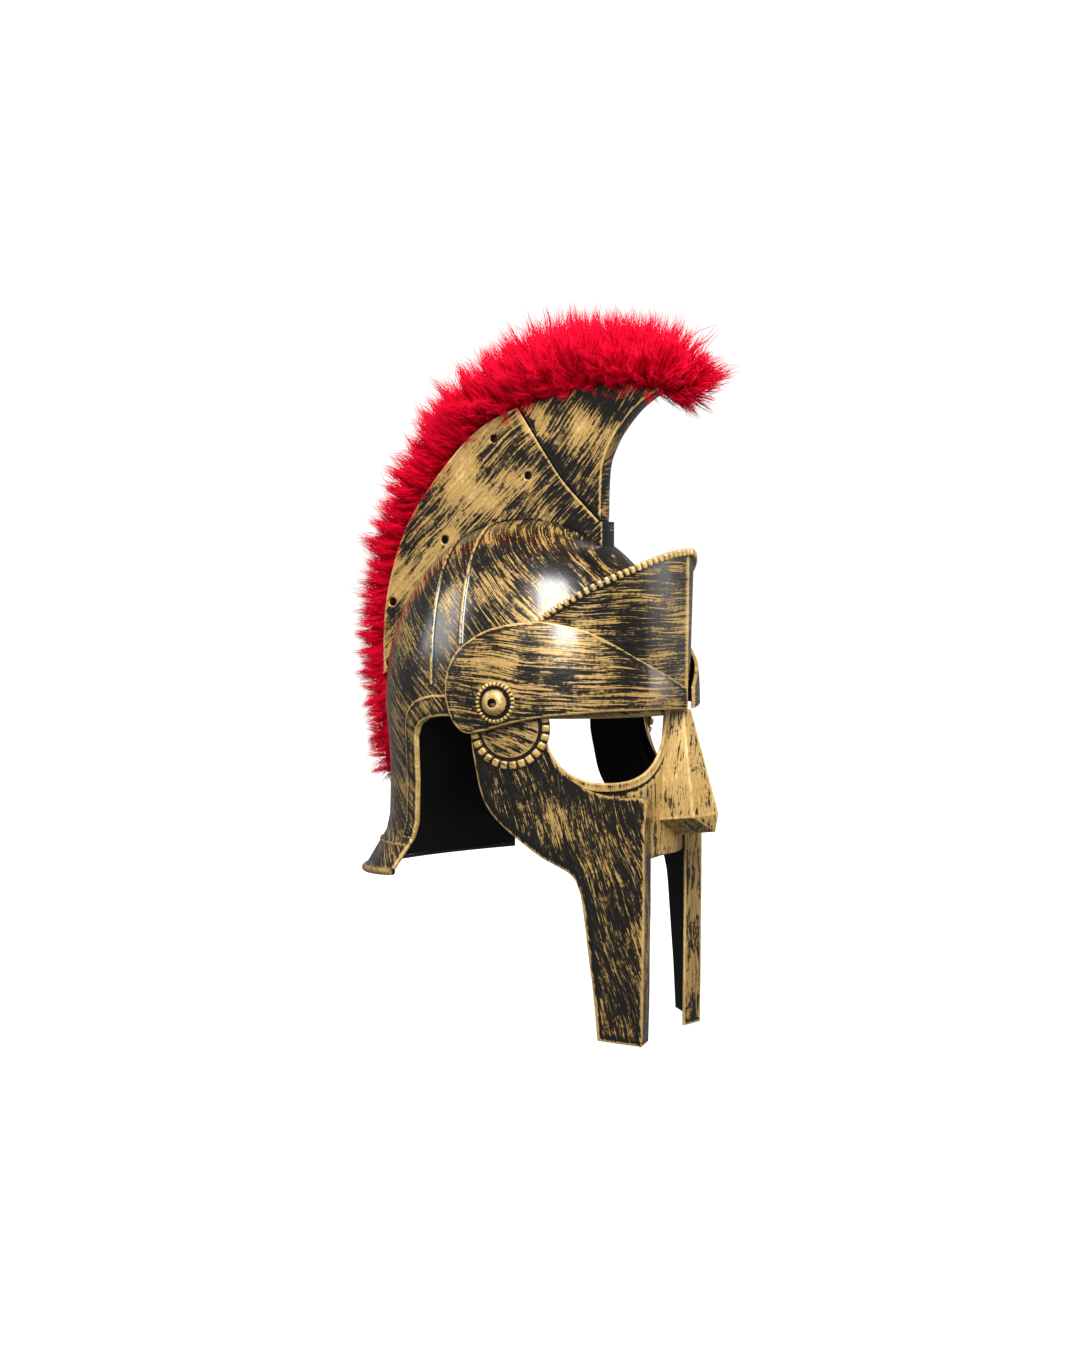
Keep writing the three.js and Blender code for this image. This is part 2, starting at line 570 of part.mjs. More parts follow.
// Brow plate: a keeled sheet from its hidden foot up to the edge, with blocks along the edge
function browPlate() {
  const columns = 19;
  const rows = 4;
  const edgePoint = (u, out) => {
    const side = Math.sign(u) || 1;
    const share = Math.abs(u);
    return wrap(plans.plateTop, share * plans.plateTop.getLength(), readSmooth(BROW_EDGE, share), out, side);
  };
  const point = (u, v) => {
    const side = Math.sign(u) || 1;
    const share = Math.abs(u);
    const length = share * plans.plateFoot.getLength();
    const foot = wrap(plans.plateFoot, length, readSmooth(BROW_FOOT, share), 0, side);
    const spot = foot.lerp(edgePoint(u, 0), v);
    if (share === 0) spot.setX(0);
    return spot;
  };
  const points = [];
  for (let r = 0; r < rows; r += 1) {
    for (let c = 0; c < columns; c += 1) points.push(point((2 * c) / (columns - 1) - 1, 1 - r / (rows - 1)));
  }
  const faces = gridFaces(rows, columns).map((face) => face.toReversed());
  const back = inset(points, faces, PLATE);
  let plate = solid(solidFromSheets(points, back, faces));
  const beads = BROW_BEADS;
  for (let i = 0; i < 2 * beads.count; i += 1) {
    const u = (i + 0.5) / beads.count - 1;
    const span = (beads.long / 2) / plans.plateTop.getLength();
    const corners = [];
    for (const end of [-span, span]) {
      for (const out of [-PLATE - 0.4, beads.proud]) {
        for (const lift of [-0.7, 0.3]) {
          const place = u + end;
          corners.push(edgePoint(place, out).add(at(0, 0, lift * beads.tall)));
        }
      }
    }
    plate = plate.add(solid(new ConvexGeometry(corners)));
  }
  for (const side of [1, -1]) plate = plate.subtract(browBand(side, 30, BAND_THICK + FIT, FIT));
  return plate.subtract(skullLump(FIT));
}

// How far the dome draws in above its widest level, which the band lobes lean in with
function lean(z) {
  if (z <= 0) return 0;
  return SKULL.halfWidth * (1 - (1 - (z / SKULL.height) ** SKULL.fullness) ** (1 / SKULL.fullness));
}

// Brow band lobe, or the room it needs when its faces are moved out and in
function browBand(side, front = 0, back = BAND_THICK, margin = 0) {
  const columns = 24;
  const rows = 5;
  const first = BAND[0].s - margin;
  const last = BAND[BAND.length - 1].s + margin;
  const sheet = (out) => {
    const points = [];
    for (let r = 0; r < rows; r += 1) {
      for (let c = 0; c < columns; c += 1) {
        const t = c / (columns - 1);
        const s = mix(first, last, 1 - (1 - t) ** 1.35);
        const low = readSmooth(BAND.map((row) => [row.s, row.low]), s);
        const top = readSmooth(BAND.map((row) => [row.s, row.top]), s);
        const z = mix(low - margin, top + margin, r / (rows - 1));
        points.push(wrap(plans.band, s, z, out - lean(z), side));
      }
    }
    return points;
  };
  return solid(solidFromSheets(sheet(front), sheet(-back), gridFaces(rows, columns)));
}

// Round boss wrapped on a plate: rings of [radius, height] from its middle outwards
function bossSolid(plan, place, rings, foot, side, columns, tilt) {
  const sheet = (height) => rings.flatMap(([radius, rise]) => Array.from({ length: columns }, (_, c) => {
    const a = (2 * Math.PI * c) / columns;
    const z = place.z + radius * Math.sin(a);
    return wrap(plan, place.s + radius * Math.cos(a), z, height(rise) - tilt(z), side);
  }));
  const faces = gridFaces(rings.length, columns, true);
  return solid(solidFromSheets(sheet((rise) => rise), sheet(() => foot), faces));
}

function rosette(side) {
  const { radius, dome, ring, crown, hole } = ROSETTE;
  const rings = [
    [hole, crown], [hole + 3, crown - 0.4], [dome, ring * 0.8], [radius - 1.6, ring + 0.6],
    [radius, ring * 0.6],
  ];
  return bossSolid(plans.band, ROSETTE, rings, FIT, side, 18, lean);
}

function earDisc(side) {
  const { radius, plate, rim, blocks, blockShare, height } = DISC;
  const rings = [[0.01, plate], [14, plate], [radius, plate]];
  let disc = bossSolid(plans.guard, DISC, rings, FIT, side, 26, () => 0);
  for (let i = 0; i < blocks; i += 1) {
    const corners = [];
    for (const end of [-0.5, 0.5]) {
      for (const reach of [radius - rim, radius - 0.3]) {
        for (const out of [FIT + 0.4, height]) {
          const a = (2 * Math.PI * (i + end * blockShare)) / blocks;
          const r = out === height ? mix(reach, radius - rim / 2, 0.15) : reach;
          corners.push(wrap(plans.guard, DISC.s + r * Math.cos(a), DISC.z + r * Math.sin(a), out, side));
        }
      }
    }
    disc = disc.add(solid(new ConvexGeometry(corners)));
  }
  return disc;
}

// Eye outline on the mask, by angle and by a margin added all round
function eyePoint(angle, margin, out, side) {
  const [c, s] = [Math.cos(angle), Math.sin(angle)];
  const power = 2 / EYE.fullness;
  const along = EYE.s + (EYE.half + margin) * Math.sign(c) * Math.abs(c) ** power;
  const z = EYE.z + (EYE.depth + margin) * Math.sign(s) * Math.abs(s) ** power;
  return wrap(plans.mask, along, z, out, side);
}

function faceMask() {
  const lengths = [0, 13, 15, 30, 40, 51, 62, 74, 85, 97, 108, 114];
  const rows = 6;
  const columns = 2 * lengths.length - 1;
  const sheet = (out) => {
    const points = [];
    for (let r = 0; r < rows; r += 1) {
      for (let c = 0; c < columns; c += 1) {
        const place = c - (lengths.length - 1);
        const s = lengths[Math.abs(place)];
        const z = mix(readRow(MASK, 's', s, 'low'), readRow(MASK, 's', s, 'top'), r / (rows - 1));
        const p = wrap(plans.mask, s, z, out, Math.sign(place) || 1);
        if (place === 0) p.setX(0);
        points.push(p);
      }
    }
    return points;
  };
  let mask = solid(solidFromSheets(sheet(0), sheet(-PLATE), gridFaces(rows, columns)));
  const steps = 18;
  for (const side of [1, -1]) {
    const band = (out) => [0, EYE.rim].flatMap((margin) => Array.from({ length: steps + 1 }, (_, i) => (
      eyePoint(-Math.PI * mix(0.03, 0.97, i / steps), margin, out, side))));
    mask = mask.add(solid(solidFromSheets(band(EYE.raise), band(-1), gridFaces(2, steps + 1))));
  }
  mask = mask.add(noseSolid(1, 0));
  for (const side of [1, -1]) mask = mask.subtract(eyeCutter(side));
  return mask.subtract(noseSolid(NOSE.hollow, 14)).subtract(skullLump(FIT, SKULL.rimZ - FIT));
}

function eyeCutter(side) {
  const steps = 36;
  const cut = (out) => [0.02, 0.5, 1].flatMap((share) => Array.from({ length: steps }, (_, i) => {
    const edge = eyePoint((2 * Math.PI * i) / steps, 0, out, side);
    return edge.lerp(wrap(plans.mask, EYE.s, EYE.z, out, side), 1 - share);
  }));
  return solid(solidFromSheets(cut(9), cut(-9), gridFaces(3, steps, true)));
}

// Nose wedge, or the hollow behind it when drawn smaller and run back through the mask
function noseSolid(scale, runBack) {
  const centre = { f: 104, z: -46 };
  const corners = [];
  const add = ([x, f, z], back) => {
    const forward = centre.f + (f - centre.f) * scale - back;
    const height = centre.z + (z - centre.z) * scale;
    for (const side of x ? [1, -1] : [1]) corners.push(at(side * x * scale, forward, height));
  };
  [...NOSE.ridge, ...NOSE.crease].forEach((row) => add(row, 0));
  [...NOSE.root, ...NOSE.keel].forEach((row) => add(row, runBack));
  return solid(new ConvexGeometry(corners));
}

function cheekGuard(side) {
  const columns = GUARD_COLUMNS + 2;
  const points = [];
  for (const row of GUARD) {
    for (let c = 0; c <= GUARD_COLUMNS; c += 1) {
      const t = c / GUARD_COLUMNS;
      points.push(wrap(plans.guard, mix(row.rearS, row.frontS, t), mix(row.rearZ, row.frontZ, t), 0, side));
    }
    const edge = points[points.length - 1].clone();
    const straightBack = wrap(plans.guard, row.frontS, row.frontZ, -row.depth, side);
    const turned = edge.add(at(-side * row.turnIn, -row.depth, 0));
    points.push(row.turnIn > 0 ? turned : straightBack);
  }
  const faces = gridFaces(GUARD.length, columns).map((face) => (side > 0 ? face.toReversed() : face));
  return solid(solidFromSheets(points, inset(points, faces, PLATE), faces));
}

const helmet = new THREE.Group();
helmet.name = 'gladiator_helmet';

const rear = crestRear();
const front = crestFront();
const rearRoom = shrink(crestRearOutline(), -FIT);
const frontRoom = shrink(crestFrontOutline(), -FIT);
const plumeRoom = finSolid(rearRoom, CREST.half + FIT).add(finSolid(frontRoom, CREST.half + FIT));
const pieces = [
  ['skull_shell', skullShell(), GOLD, 0.4, 0.6],
  ['crest_rear', rear, GOLD, 0.4, 0.6],
  ['crest_front', front, GOLD, 0.4, 0.6],
  ['plume', plumeSolid(plumeRoom), RED, 0.9, 0],
  ['brow_plate', browPlate(), GOLD, 0.4, 0.6],
  ['face_mask', faceMask(), GOLD, 0.4, 0.6],
];
for (const [name, side] of [['right', -1], ['left', 1]]) {
  pieces.push([`brow_band_${name}`, browBand(side), GOLD, 0.4, 0.6]);
  pieces.push([`rosette_${name}`, rosette(side), GOLD, 0.4, 0.6]);
  pieces.push([`cheek_guard_${name}`, cheekGuard(side), GOLD, 0.4, 0.6]);
  pieces.push([`ear_disc_${name}`, earDisc(side), GOLD, 0.4, 0.6]);
}
for (const [name, body, color, roughness, metalness] of pieces) {
  const mesh = meshOf(name, body, color, roughness, metalness);
  mesh.position.z = WALL - SKULL.height;
  helmet.add(mesh);
}

export default helmet;
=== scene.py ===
import math

import bmesh
import bpy
import numpy as np
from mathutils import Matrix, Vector, geometry, kdtree


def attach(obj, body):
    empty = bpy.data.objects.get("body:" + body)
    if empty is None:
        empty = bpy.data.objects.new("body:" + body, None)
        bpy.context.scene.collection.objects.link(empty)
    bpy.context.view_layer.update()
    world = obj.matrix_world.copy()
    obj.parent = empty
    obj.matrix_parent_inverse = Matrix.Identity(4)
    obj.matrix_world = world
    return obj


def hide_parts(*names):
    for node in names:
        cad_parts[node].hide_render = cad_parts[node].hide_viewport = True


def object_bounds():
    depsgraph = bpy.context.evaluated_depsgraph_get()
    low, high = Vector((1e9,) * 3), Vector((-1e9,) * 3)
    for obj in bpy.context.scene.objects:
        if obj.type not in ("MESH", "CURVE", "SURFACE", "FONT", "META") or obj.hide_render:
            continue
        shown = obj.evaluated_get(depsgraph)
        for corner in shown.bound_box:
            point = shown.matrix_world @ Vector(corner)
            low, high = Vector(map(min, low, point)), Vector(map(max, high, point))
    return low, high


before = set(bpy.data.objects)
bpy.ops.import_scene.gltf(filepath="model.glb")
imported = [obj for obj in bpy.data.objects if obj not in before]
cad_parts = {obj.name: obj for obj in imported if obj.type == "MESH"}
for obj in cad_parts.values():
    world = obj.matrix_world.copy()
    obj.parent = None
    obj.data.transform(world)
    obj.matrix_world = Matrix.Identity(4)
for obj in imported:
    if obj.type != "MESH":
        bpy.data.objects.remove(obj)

CAD_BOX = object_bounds()

bl_info = {
    "name": "Gladiator helmet",
    "version": (1, 0, 0),
    "blender": (4, 5, 0),
    "location": "View3D > Sidebar > Helmet",
    "description": "Dresses a crested gladiator helmet in dry-brushed gold over black, with a feather plume",
    "category": "Add Mesh",
}

# Tables are in millimetres; heights are taken from the dome's widest level, forward is towards the face
MILLIMETRE = 0.001
DROP = 128.6
EDGE = 1.0
BEAD_WEAR = 0.62
WALL = 2.4
PLATE = 2.0
FULLNESS = 2.1
RIM_Z = -7.0

# Neck guard levels: height, how far it stands out, where its front edge turns
NECK = np.array([
    (-7, 0, 102), (-9, -0.4, 109), (-14, -0.8, 114.5), (-24, -1.9, 117.5), (-54, -3.6, 118),
    (-84, -2.8, 118), (-96, -0.2, 118.5), (-105, 5, 119), (-119, 13, 120), (-124.5, 16.5, 120),
])
LIP_RADIUS = 2.6
NECK_STEP = -103.0

# Border round the ear cut-out: turn and height of its edge, then of its inner line
BORDER = np.array([
    (94, -7, 95, 8), (102, -7, 108, 7), (109, -9, 117, 2), (114.5, -14, 122, -7), (117.5, -24, 124.5, -21),
    (118, -54, 125, -54), (118, -84, 125, -84), (118.5, -96, 126, -96),
])

# Ribs over the dome: forward reach at the crest and at the ear, tilt at the crest and at the ear
RIBS = [(-48, -34, 9, 84), (-25, -11, 8, 72)]

# Crest outline in the middle plane: forward reach and height
CREST_RIM = [
    (-7.5, 211.2), (-33, 200.3), (-54.5, 184), (-80, 156), (-98.5, 130), (-111, 101), (-118.5, 72),
    (-121, 45), (-121, 16),
]
CREST_SEAM = [(58, 129.5), (32.3, 155), (18.6, 173), (4.8, 193)]
CREST_TOP = [(-6, 211.7), (24, 219), (46, 224), (75, 225.8), (104, 223.6)]
CREST_BROW = [(103.5, 220), (87, 209.2), (73.6, 194.7), (65, 180.8), (60, 164.6), (58.8, 130.2)]
CREST_HOLES = [(-26.5, 189), (1.5, 162), (-67.6, 116), (-112.5, 70), (-115.6, 24)]
CREST_FOOT = (49, 61.5, 128.6)

# Plume from its front tip to the nape: forward reach, height, half height, half width
PLUME = [
    (128, 226, 15, 15), (110, 238, 24, 24), (77, 246, 28, 28), (38, 247, 29, 29), (0, 239, 29, 29),
    (-37, 222, 27, 27), (-69, 197, 24, 25), (-97, 161, 21, 22), (-118, 120, 18, 20), (-129.5, 75, 15.5, 19),
    (-132.5, 28, 14, 18), (-128, -18, 12, 15), (-124, -58, 8, 10),
]

# Plume core: its share of the plume's half height, and how far it sits towards the crest
CORE_SHARE = 0.34
CORE_SINK = 0.5

# Plan curves of the upright plates: half distance across and forward reach
PLANS = {
    "plate_top": [(0, 124.5), (30, 114.5), (57, 96.5), (72.5, 71), (74.6, 45)],
    "plate_foot": [(0, 123.6), (38, 107), (68, 78), (78, 48)],
    "band": [(1.5, 128), (44, 113), (79.5, 78.5), (96, 36), (98.6, 8), (96, -20)],
    "mask": [(0, 115.6), (32, 105.5), (57, 87), (75, 61), (84.5, 42)],
    "guard": [(47.5, 115), (61, 95), (76.5, 68), (87.5, 43), (92.2, 20), (92.4, -6)],
}
BROW_EDGE = [(0, 108.5), (0.2, 105), (0.42, 97), (0.6, 88.5), (0.78, 77), (1, 61.5)]
BROW_FOOT = [(0, -2.5), (0.5, 14), (1, 46)]

# Brow band lobe: length along its plan, lower edge, upper edge
BAND = [
    (5, -2.5, 12.5), (31, -1.6, 25), (50, -1.5, 34), (70, -1.6, 45), (90, -2.6, 54), (115, -4.7, 59.5),
    (130, -7, 60), (147, -11, 58), (164, -15.8, 54), (177, -17.6, 47), (186, -12.5, 40.5), (192, -3, 31),
    (195, 8, 20),
]
BAND_THICK = 3.0
ROSETTE_PLACE = (153.5, 4.5)
DISC_PLACE = (95.5, -13)

# Eye opening on the mask's plan, mask edges by length along the plan, and the nose's corners
EYE_PLACE = (61, 0)
EYE_HALF = 47
EYE_DEPTH = 51.5
EYE_FULLNESS = 2.4
EYE_RIM = 6.0
MASK_LOW = [(0, -104), (15, -105), (40, -106), (62, -92), (85, -74), (108, -44), (114, -34)]
MASK_TOP = -7.7
NOSE_RIDGE = [(0, 126, -2.8), (0, 147.4, -74.6), (0, 145, -88)]
NOSE_CREASE = [(4, 122.5, -2.8), (14, 134.5, -77)]
NOSE_ROOT = [(12, 111, -2.8), (19, 107, -80)]
NOSE_KEEL = (0, 111, -92.5)

# Cheek guard rows: rear edge and front edge on its plan, then the flange's turn inwards and depth
GUARD = np.array([
    (124, -9, 68.5, -9, 0, 2.6), (124.5, -25.5, 69.5, -24, 0, 2.6), (121, -44, 62.5, -40, 0, 3),
    (117.4, -58.5, 51, -50, 0, 3.4), (111, -70.5, 37, -57, 0, 4), (102, -80, 20.5, -61, 0, 4.4),
    (89, -90.5, 1.8, -63.5, 19.5, 4), (73.3, -102, 2, -82.5, 19.5, 4), (53.4, -113.5, 2, -103, 19.5, 4),
    (47.5, -123.5, 2, -123.5, 19.5, 4), (44.7, -136.5, 2, -140.5, 19.5, 4),
    (40.6, -169.5, 2.5, -171, 19.5, 4), (37.3, -196, 2.7, -199, 19.5, 4), (34.3, -229, 3.4, -234, 19.5, 4),
])


class HelmetSizes(bpy.types.PropertyGroup):
    """Sizes of the moulded shell that its pieces are set against"""

    half_width: bpy.props.FloatProperty(
        name="Half width", description="Dome's half width at its widest level, in millimetres", default=90.0)
    reach: bpy.props.FloatProperty(
        name="Reach", description="Dome's reach forwards and backwards, in millimetres", default=111.5)
    height: bpy.props.FloatProperty(
        name="Height", description="Dome's height over its widest level, in millimetres", default=131.0)
    crest_half: bpy.props.FloatProperty(
        name="Crest half", description="Half thickness of the rear crest, in millimetres", default=9.0)
    crest_front_half: bpy.props.FloatProperty(
        name="Front crest half", description="Half thickness of the front crest, in millimetres",
        default=7.6)
    brow_beads: bpy.props.IntProperty(
        name="Brow beads", description="Beads along each half of the brow plate's edge", default=26)
    disc_blocks: bpy.props.IntProperty(
        name="Disc blocks", description="Blocks round the rim of each ear disc", default=26)
    rosette_beads: bpy.props.IntProperty(
        name="Rosette beads", description="Beads round each rosette", default=28)


class HelmetFinish(bpy.types.PropertyGroup):
    """Colours and stroke sizes of the dry-brushed finish and of the feathers"""

    black: bpy.props.FloatVectorProperty(
        name="Black", description="Moulded plastic under the gold", subtype="COLOR", size=3,
        default=(0.0048, 0.0046, 0.0042))
    thin_gold: bpy.props.FloatVectorProperty(
        name="Thin gold", description="Film of gold where the brush ran dry", subtype="COLOR", size=3,
        default=(0.045, 0.028, 0.009))
    gold: bpy.props.FloatVectorProperty(
        name="Gold", description="Dry-brushed gold", subtype="COLOR", size=3,
        default=(0.46, 0.285, 0.084))
    pale_gold: bpy.props.FloatVectorProperty(
        name="Pale gold", description="Gold where it lies thickest, along worn edges",
        subtype="COLOR", size=3, default=(0.78, 0.55, 0.225))
    stroke_length: bpy.props.FloatProperty(
        name="Stroke length", description="Length of a brush stroke", unit="LENGTH", default=0.018)
    stroke_width: bpy.props.FloatProperty(
        name="Stroke width", description="Width of a brush stroke", unit="LENGTH", default=0.0007)
    feather_root: bpy.props.FloatVectorProperty(
        name="Feather root", description="Shaded down of the plume", subtype="COLOR", size=3,
        default=(0.66, 0.0, 0.018))
    feather: bpy.props.FloatVectorProperty(
        name="Feather", description="Body of the feathers", subtype="COLOR", size=3,
        default=(0.76, 0.0, 0.024))
    feather_tip: bpy.props.FloatVectorProperty(
        name="Feather tip", description="Thin ends of the feathers", subtype="COLOR", size=3,
        default=(0.86, 0.003, 0.040))


class HelmetPlume(bpy.types.PropertyGroup):
    """Down of the plume"""

    tufts: bpy.props.FloatProperty(
        name="Tufts", description="Tufts on a square metre of the core", default=190000.0)
    strands: bpy.props.IntProperty(name="Strands", description="Strands in a tuft", default=9)
    length: bpy.props.FloatProperty(
        name="Length", description="Length of a tuft as a share of the plume's half height", default=1.45)
    lean: bpy.props.FloatProperty(
        name="Lean", description="How unevenly the tufts lean", subtype="FACTOR", default=0.62)
    seed: bpy.props.IntProperty(name="Seed", description="Scatter of the tufts", default=7)


class HelmetStage(bpy.types.PropertyGroup):
    """Floor, lamps and camera"""

    floor: bpy.props.FloatVectorProperty(
        name="Floor", description="Pale floor", subtype="COLOR", size=3, default=(0.9, 0.9, 0.9))
    key_power: bpy.props.FloatProperty(
        name="Key", description="Main soft lamp", unit="POWER", default=54.0)
    fill_power: bpy.props.FloatProperty(
        name="Fill", description="Side soft lamp", unit="POWER", default=11.0)
    surround: bpy.props.FloatProperty(
        name="Surround", description="Brightness of the surround that lights the helmet", default=0.17)
    lens: bpy.props.FloatProperty(name="Lens", description="Focal length in millimetres", default=61.1)


# Curves and sheets

def catmull(points, shares):
    """Points on the smooth curve through a table's rows, at shares of its row count."""
    rows = np.asarray(points, float)
    place = np.clip(shares, 0, 1) * (len(rows) - 1)
    i = np.minimum(place.astype(int), len(rows) - 2)
    w = (place - i)[:, None]
    a, b = rows[np.maximum(i - 1, 0)], rows[i]
    c, d = rows[i + 1], rows[np.minimum(i + 2, len(rows) - 1)]
    start, end = (c - a) / 2, (d - b) / 2
    return (2 * b - 2 * c + start + end) * w**3 + (3 * c - 3 * b - 2 * start - end) * w**2 + start * w + b


def smooth_line(points, step):
    """Evenly spaced points along the smooth curve through a few."""
    path = catmull(points, np.linspace(0, 1, 600))
    run = np.concatenate([[0], np.cumsum(np.linalg.norm(np.diff(path, axis=0), axis=1))])
    places = np.linspace(0, run[-1], max(3, int(run[-1] / step)))
    return np.stack([np.interp(places, run, path[:, k]) for k in range(path.shape[1])], axis=1)


def read_smooth(pairs, places):
    """Value read off the smooth curve through a table's first column and another."""
    path = catmull(pairs, np.linspace(0, 1, 600))
    return np.interp(places, path[:, 0], path[:, 1])


def steps_between(length, step):
    """Shares along a length, closer together by the two ends, which are to be rounded."""
    near = EDGE * np.array([0, 0.08, 0.3, 0.65, 1.1, 1.8])
    count = max(2, int((length - 2 * near[-1]) / step))
    middle = np.linspace(near[-1], length - near[-1], count + 1)
    return np.concatenate([near[:-1], middle, (length - near[:-1])[::-1]]) / length


class Plan:
    """Plan curve of an upright plate, read by length along it"""

    def __init__(self, points):
        self.path = catmull(points, np.linspace(0, 1, 900))
        gaps = np.linalg.norm(np.diff(self.path, axis=0), axis=1)
        self.run = np.concatenate([[0], np.cumsum(gaps)])
        self.length = self.run[-1]
        slope = np.gradient(self.path, self.run, axis=0)
        self.slope = slope / np.linalg.norm(slope, axis=1)[:, None]

    def wrap(self, length, z, out, side):
        """Points at a length along the plan, a height and a distance out, on one side of the head."""
        length, z, out = np.broadcast_arrays(length, z, out)
        x, f = (np.interp(length, self.run, self.path[:, k]) for k in (0, 1))
        tx, tf = (np.interp(length, self.run, self.slope[:, k]) for k in (0, 1))
        return np.stack([side * (x - tf * out), -(f + tx * out), z.astype(float)], axis=-1)


PLAN = {name: Plan(points) for name, points in PLANS.items()}


def lean(z, sizes):
    """How far the dome draws in above its widest level."""
    rise = np.clip(z, 0, None) / sizes.height
    return sizes.half_width * (1 - (1 - rise**FULLNESS) ** (1 / FULLNESS))


def dome_point(turn, climb, out, sizes):
    """Dome points by turn from the front and climb towards the apex, in degrees."""
    a, c = np.radians(turn), np.radians(climb)
    spread = np.clip(np.cos(c), 0, None) ** (2 / FULLNESS)
    rise = np.clip(np.sin(c), 0, None) ** (2 / FULLNESS)
    x = (sizes.half_width + out) * spread * np.sin(a)
    f = (sizes.reach + out) * spread * np.cos(a)
    return np.stack(np.broadcast_arrays(x, -f, (sizes.height + out) * rise), axis=-1)


def wall_point(turn, z, out, sizes):
    """Wall points under the dome's widest level."""
    a = np.radians(turn)
    x = (sizes.half_width + out) * np.sin(a)
    f = (sizes.reach + out) * np.cos(a)
    return np.stack(np.broadcast_arrays(x, -f, z), axis=-1)


def head_point(turn, z, out, sizes):
    """Points on the dome or on the neck guard under it, by height."""
    rise = np.clip(z / sizes.height, 0, 1) ** (FULLNESS / 2)
    above = dome_point(turn, np.degrees(np.arcsin(rise)), out, sizes)
    flare = np.interp(-z, -NECK[:, 0], NECK[:, 1])
    below = wall_point(turn, z, out + flare, sizes)
    return np.where((z > 0)[..., None], above, below)


def neck_height(z, from_back):
    """Neck guard level, which climbs a little towards its front corners."""
    share = np.clip((-84 - z) / (NECK[-1, 0] * -1 - 84), 0, None)
    return z + 6 * share * (from_back / 60) ** 2


def grid_faces(rows, columns, closed=False):
    """Four-sided faces of a grid of points numbered row by row."""
    r = np.arange(rows - 1)[:, None] * columns
    c = np.arange(columns if closed else columns - 1)[None, :]
    d = (c + 1) % columns
    return np.stack([r + c, r + columns + c, r + columns + d, r + d], axis=-1).reshape(-1, 4)


def sheet_normals(points, faces):
    """Averaged normals of a sheet's points."""
    p = points[faces]
    face_normals = np.cross(p[:, 2] - p[:, 0], p[:, -1] - p[:, 1])
    normals = np.zeros_like(points)
    for k in range(faces.shape[1]):
        np.add.at(normals, faces[:, k], face_normals)
    return normals / np.maximum(np.linalg.norm(normals, axis=1), 1e-9)[:, None]


def open_edges(points, faces):
    """Directed edges that only one face uses."""
    edges = np.concatenate([faces[:, [k, (k + 1) % faces.shape[1]]] for k in range(faces.shape[1])])
    keys = np.sort(edges, axis=1)
    _, index, count = np.unique(keys, axis=0, return_index=True, return_counts=True)
    loose = edges[index[count == 1]]
    long = np.linalg.norm(points[loose[:, 0]] - points[loose[:, 1]], axis=1) > 1e-6
    return loose[long]


def distance_to(points, targets):
    """Distance from each point to the nearest of the targets."""
    tree = kdtree.KDTree(len(targets))
    for i, target in enumerate(targets):
        tree.insert(target, i)
    tree.balance()
    return np.array([tree.find(point)[2] for point in points])


def along_edges(points, edges, step=0.4):
    """Points spread along edges."""
    a, b = points[edges[:, 0]], points[edges[:, 1]]
    count = max(2, int(np.max(np.linalg.norm(b - a, axis=1)) / step))
    shares = np.linspace(0, 1, count)[None, :, None]
    return (a[:, None] * (1 - shares) + b[:, None] * shares).reshape(-1, 3)


def shell(points, faces, thickness, radius=EDGE, shade=None, worn=2.2, shade_line=0.0):
    """Closed wall behind a sheet: rounded along its open edges, gold there, black inside, with an optional
    dark line of painted shade a little in from those edges.
    """
    normals = sheet_normals(points, faces)
    outwards = points - np.array([0, 0, 40])
    if np.sum(normals * outwards) < 0:
        faces, normals = faces[:, ::-1], -normals
    loose = open_edges(points, faces)
    gap = distance_to(points, along_edges(points, loose))
    inside = np.clip(radius - gap, 0, radius)
    dip = radius - np.sqrt(radius**2 - inside**2)
    front = points - normals * dip[:, None]
    back = points - normals * (thickness - 0.5 * dip)[:, None]
    wear = np.clip(1.5 - gap / worn, 0, 1)
    if shade is not None:
        wear = np.maximum(shade, wear)
    # Painted shade: a dark line a little in from the open edges, when its strength is above zero.
    wear = wear - shade_line * np.clip(1.4 - np.abs(gap - 2.3 * worn) / (0.7 * worn), 0, 1)
    count = len(points)
    rim = np.stack([loose[:, 1], loose[:, 0], count + loose[:, 0], count + loose[:, 1]], axis=1)
    return {
        "points": np.concatenate([front, back]),
        "faces": [faces, rim, faces[:, ::-1] + count],
        "inside": [0, 0, 1],
        "wear": np.concatenate([wear, np.clip(1 - gap, 0, 1)]),
    }


def sweep(rings, wear):
    """Closed tube through rings of points, with flat ends."""
    rings = np.asarray(rings)
    count, sides = rings.shape[:2]
    body = grid_faces(count, sides, closed=True)
    centre = np.concatenate([rings[:1].mean(axis=1), rings[-1:].mean(axis=1)])
    i = np.arange(sides)
    j = (i + 1) % sides
    low = np.stack([j, i, np.full(sides, count * sides)], axis=1)
    high = np.stack([i, j, np.full(sides, count * sides + 1)], axis=1)
    high[:, :2] += (count - 1) * sides
    return {
        "points": np.concatenate([rings.reshape(-1, 3), centre]),
        "faces": [body, low[:, ::-1], high[:, ::-1]],
        "inside": [0, 0, 0],
        "wear": np.concatenate([np.broadcast_to(wear, (count, sides)).reshape(-1), [0.5, 0.5]]),
    }


def volume(points, face_groups):
    """Signed volume that a part's faces enclose."""
    total = 0.0
    for faces in face_groups:
        for k in range(1, faces.shape[1] - 1):
            a, b, c = points[faces[:, 0]], points[faces[:, k]], points[faces[:, k + 1]]
            total += np.sum(a * np.cross(b, c))
    return total


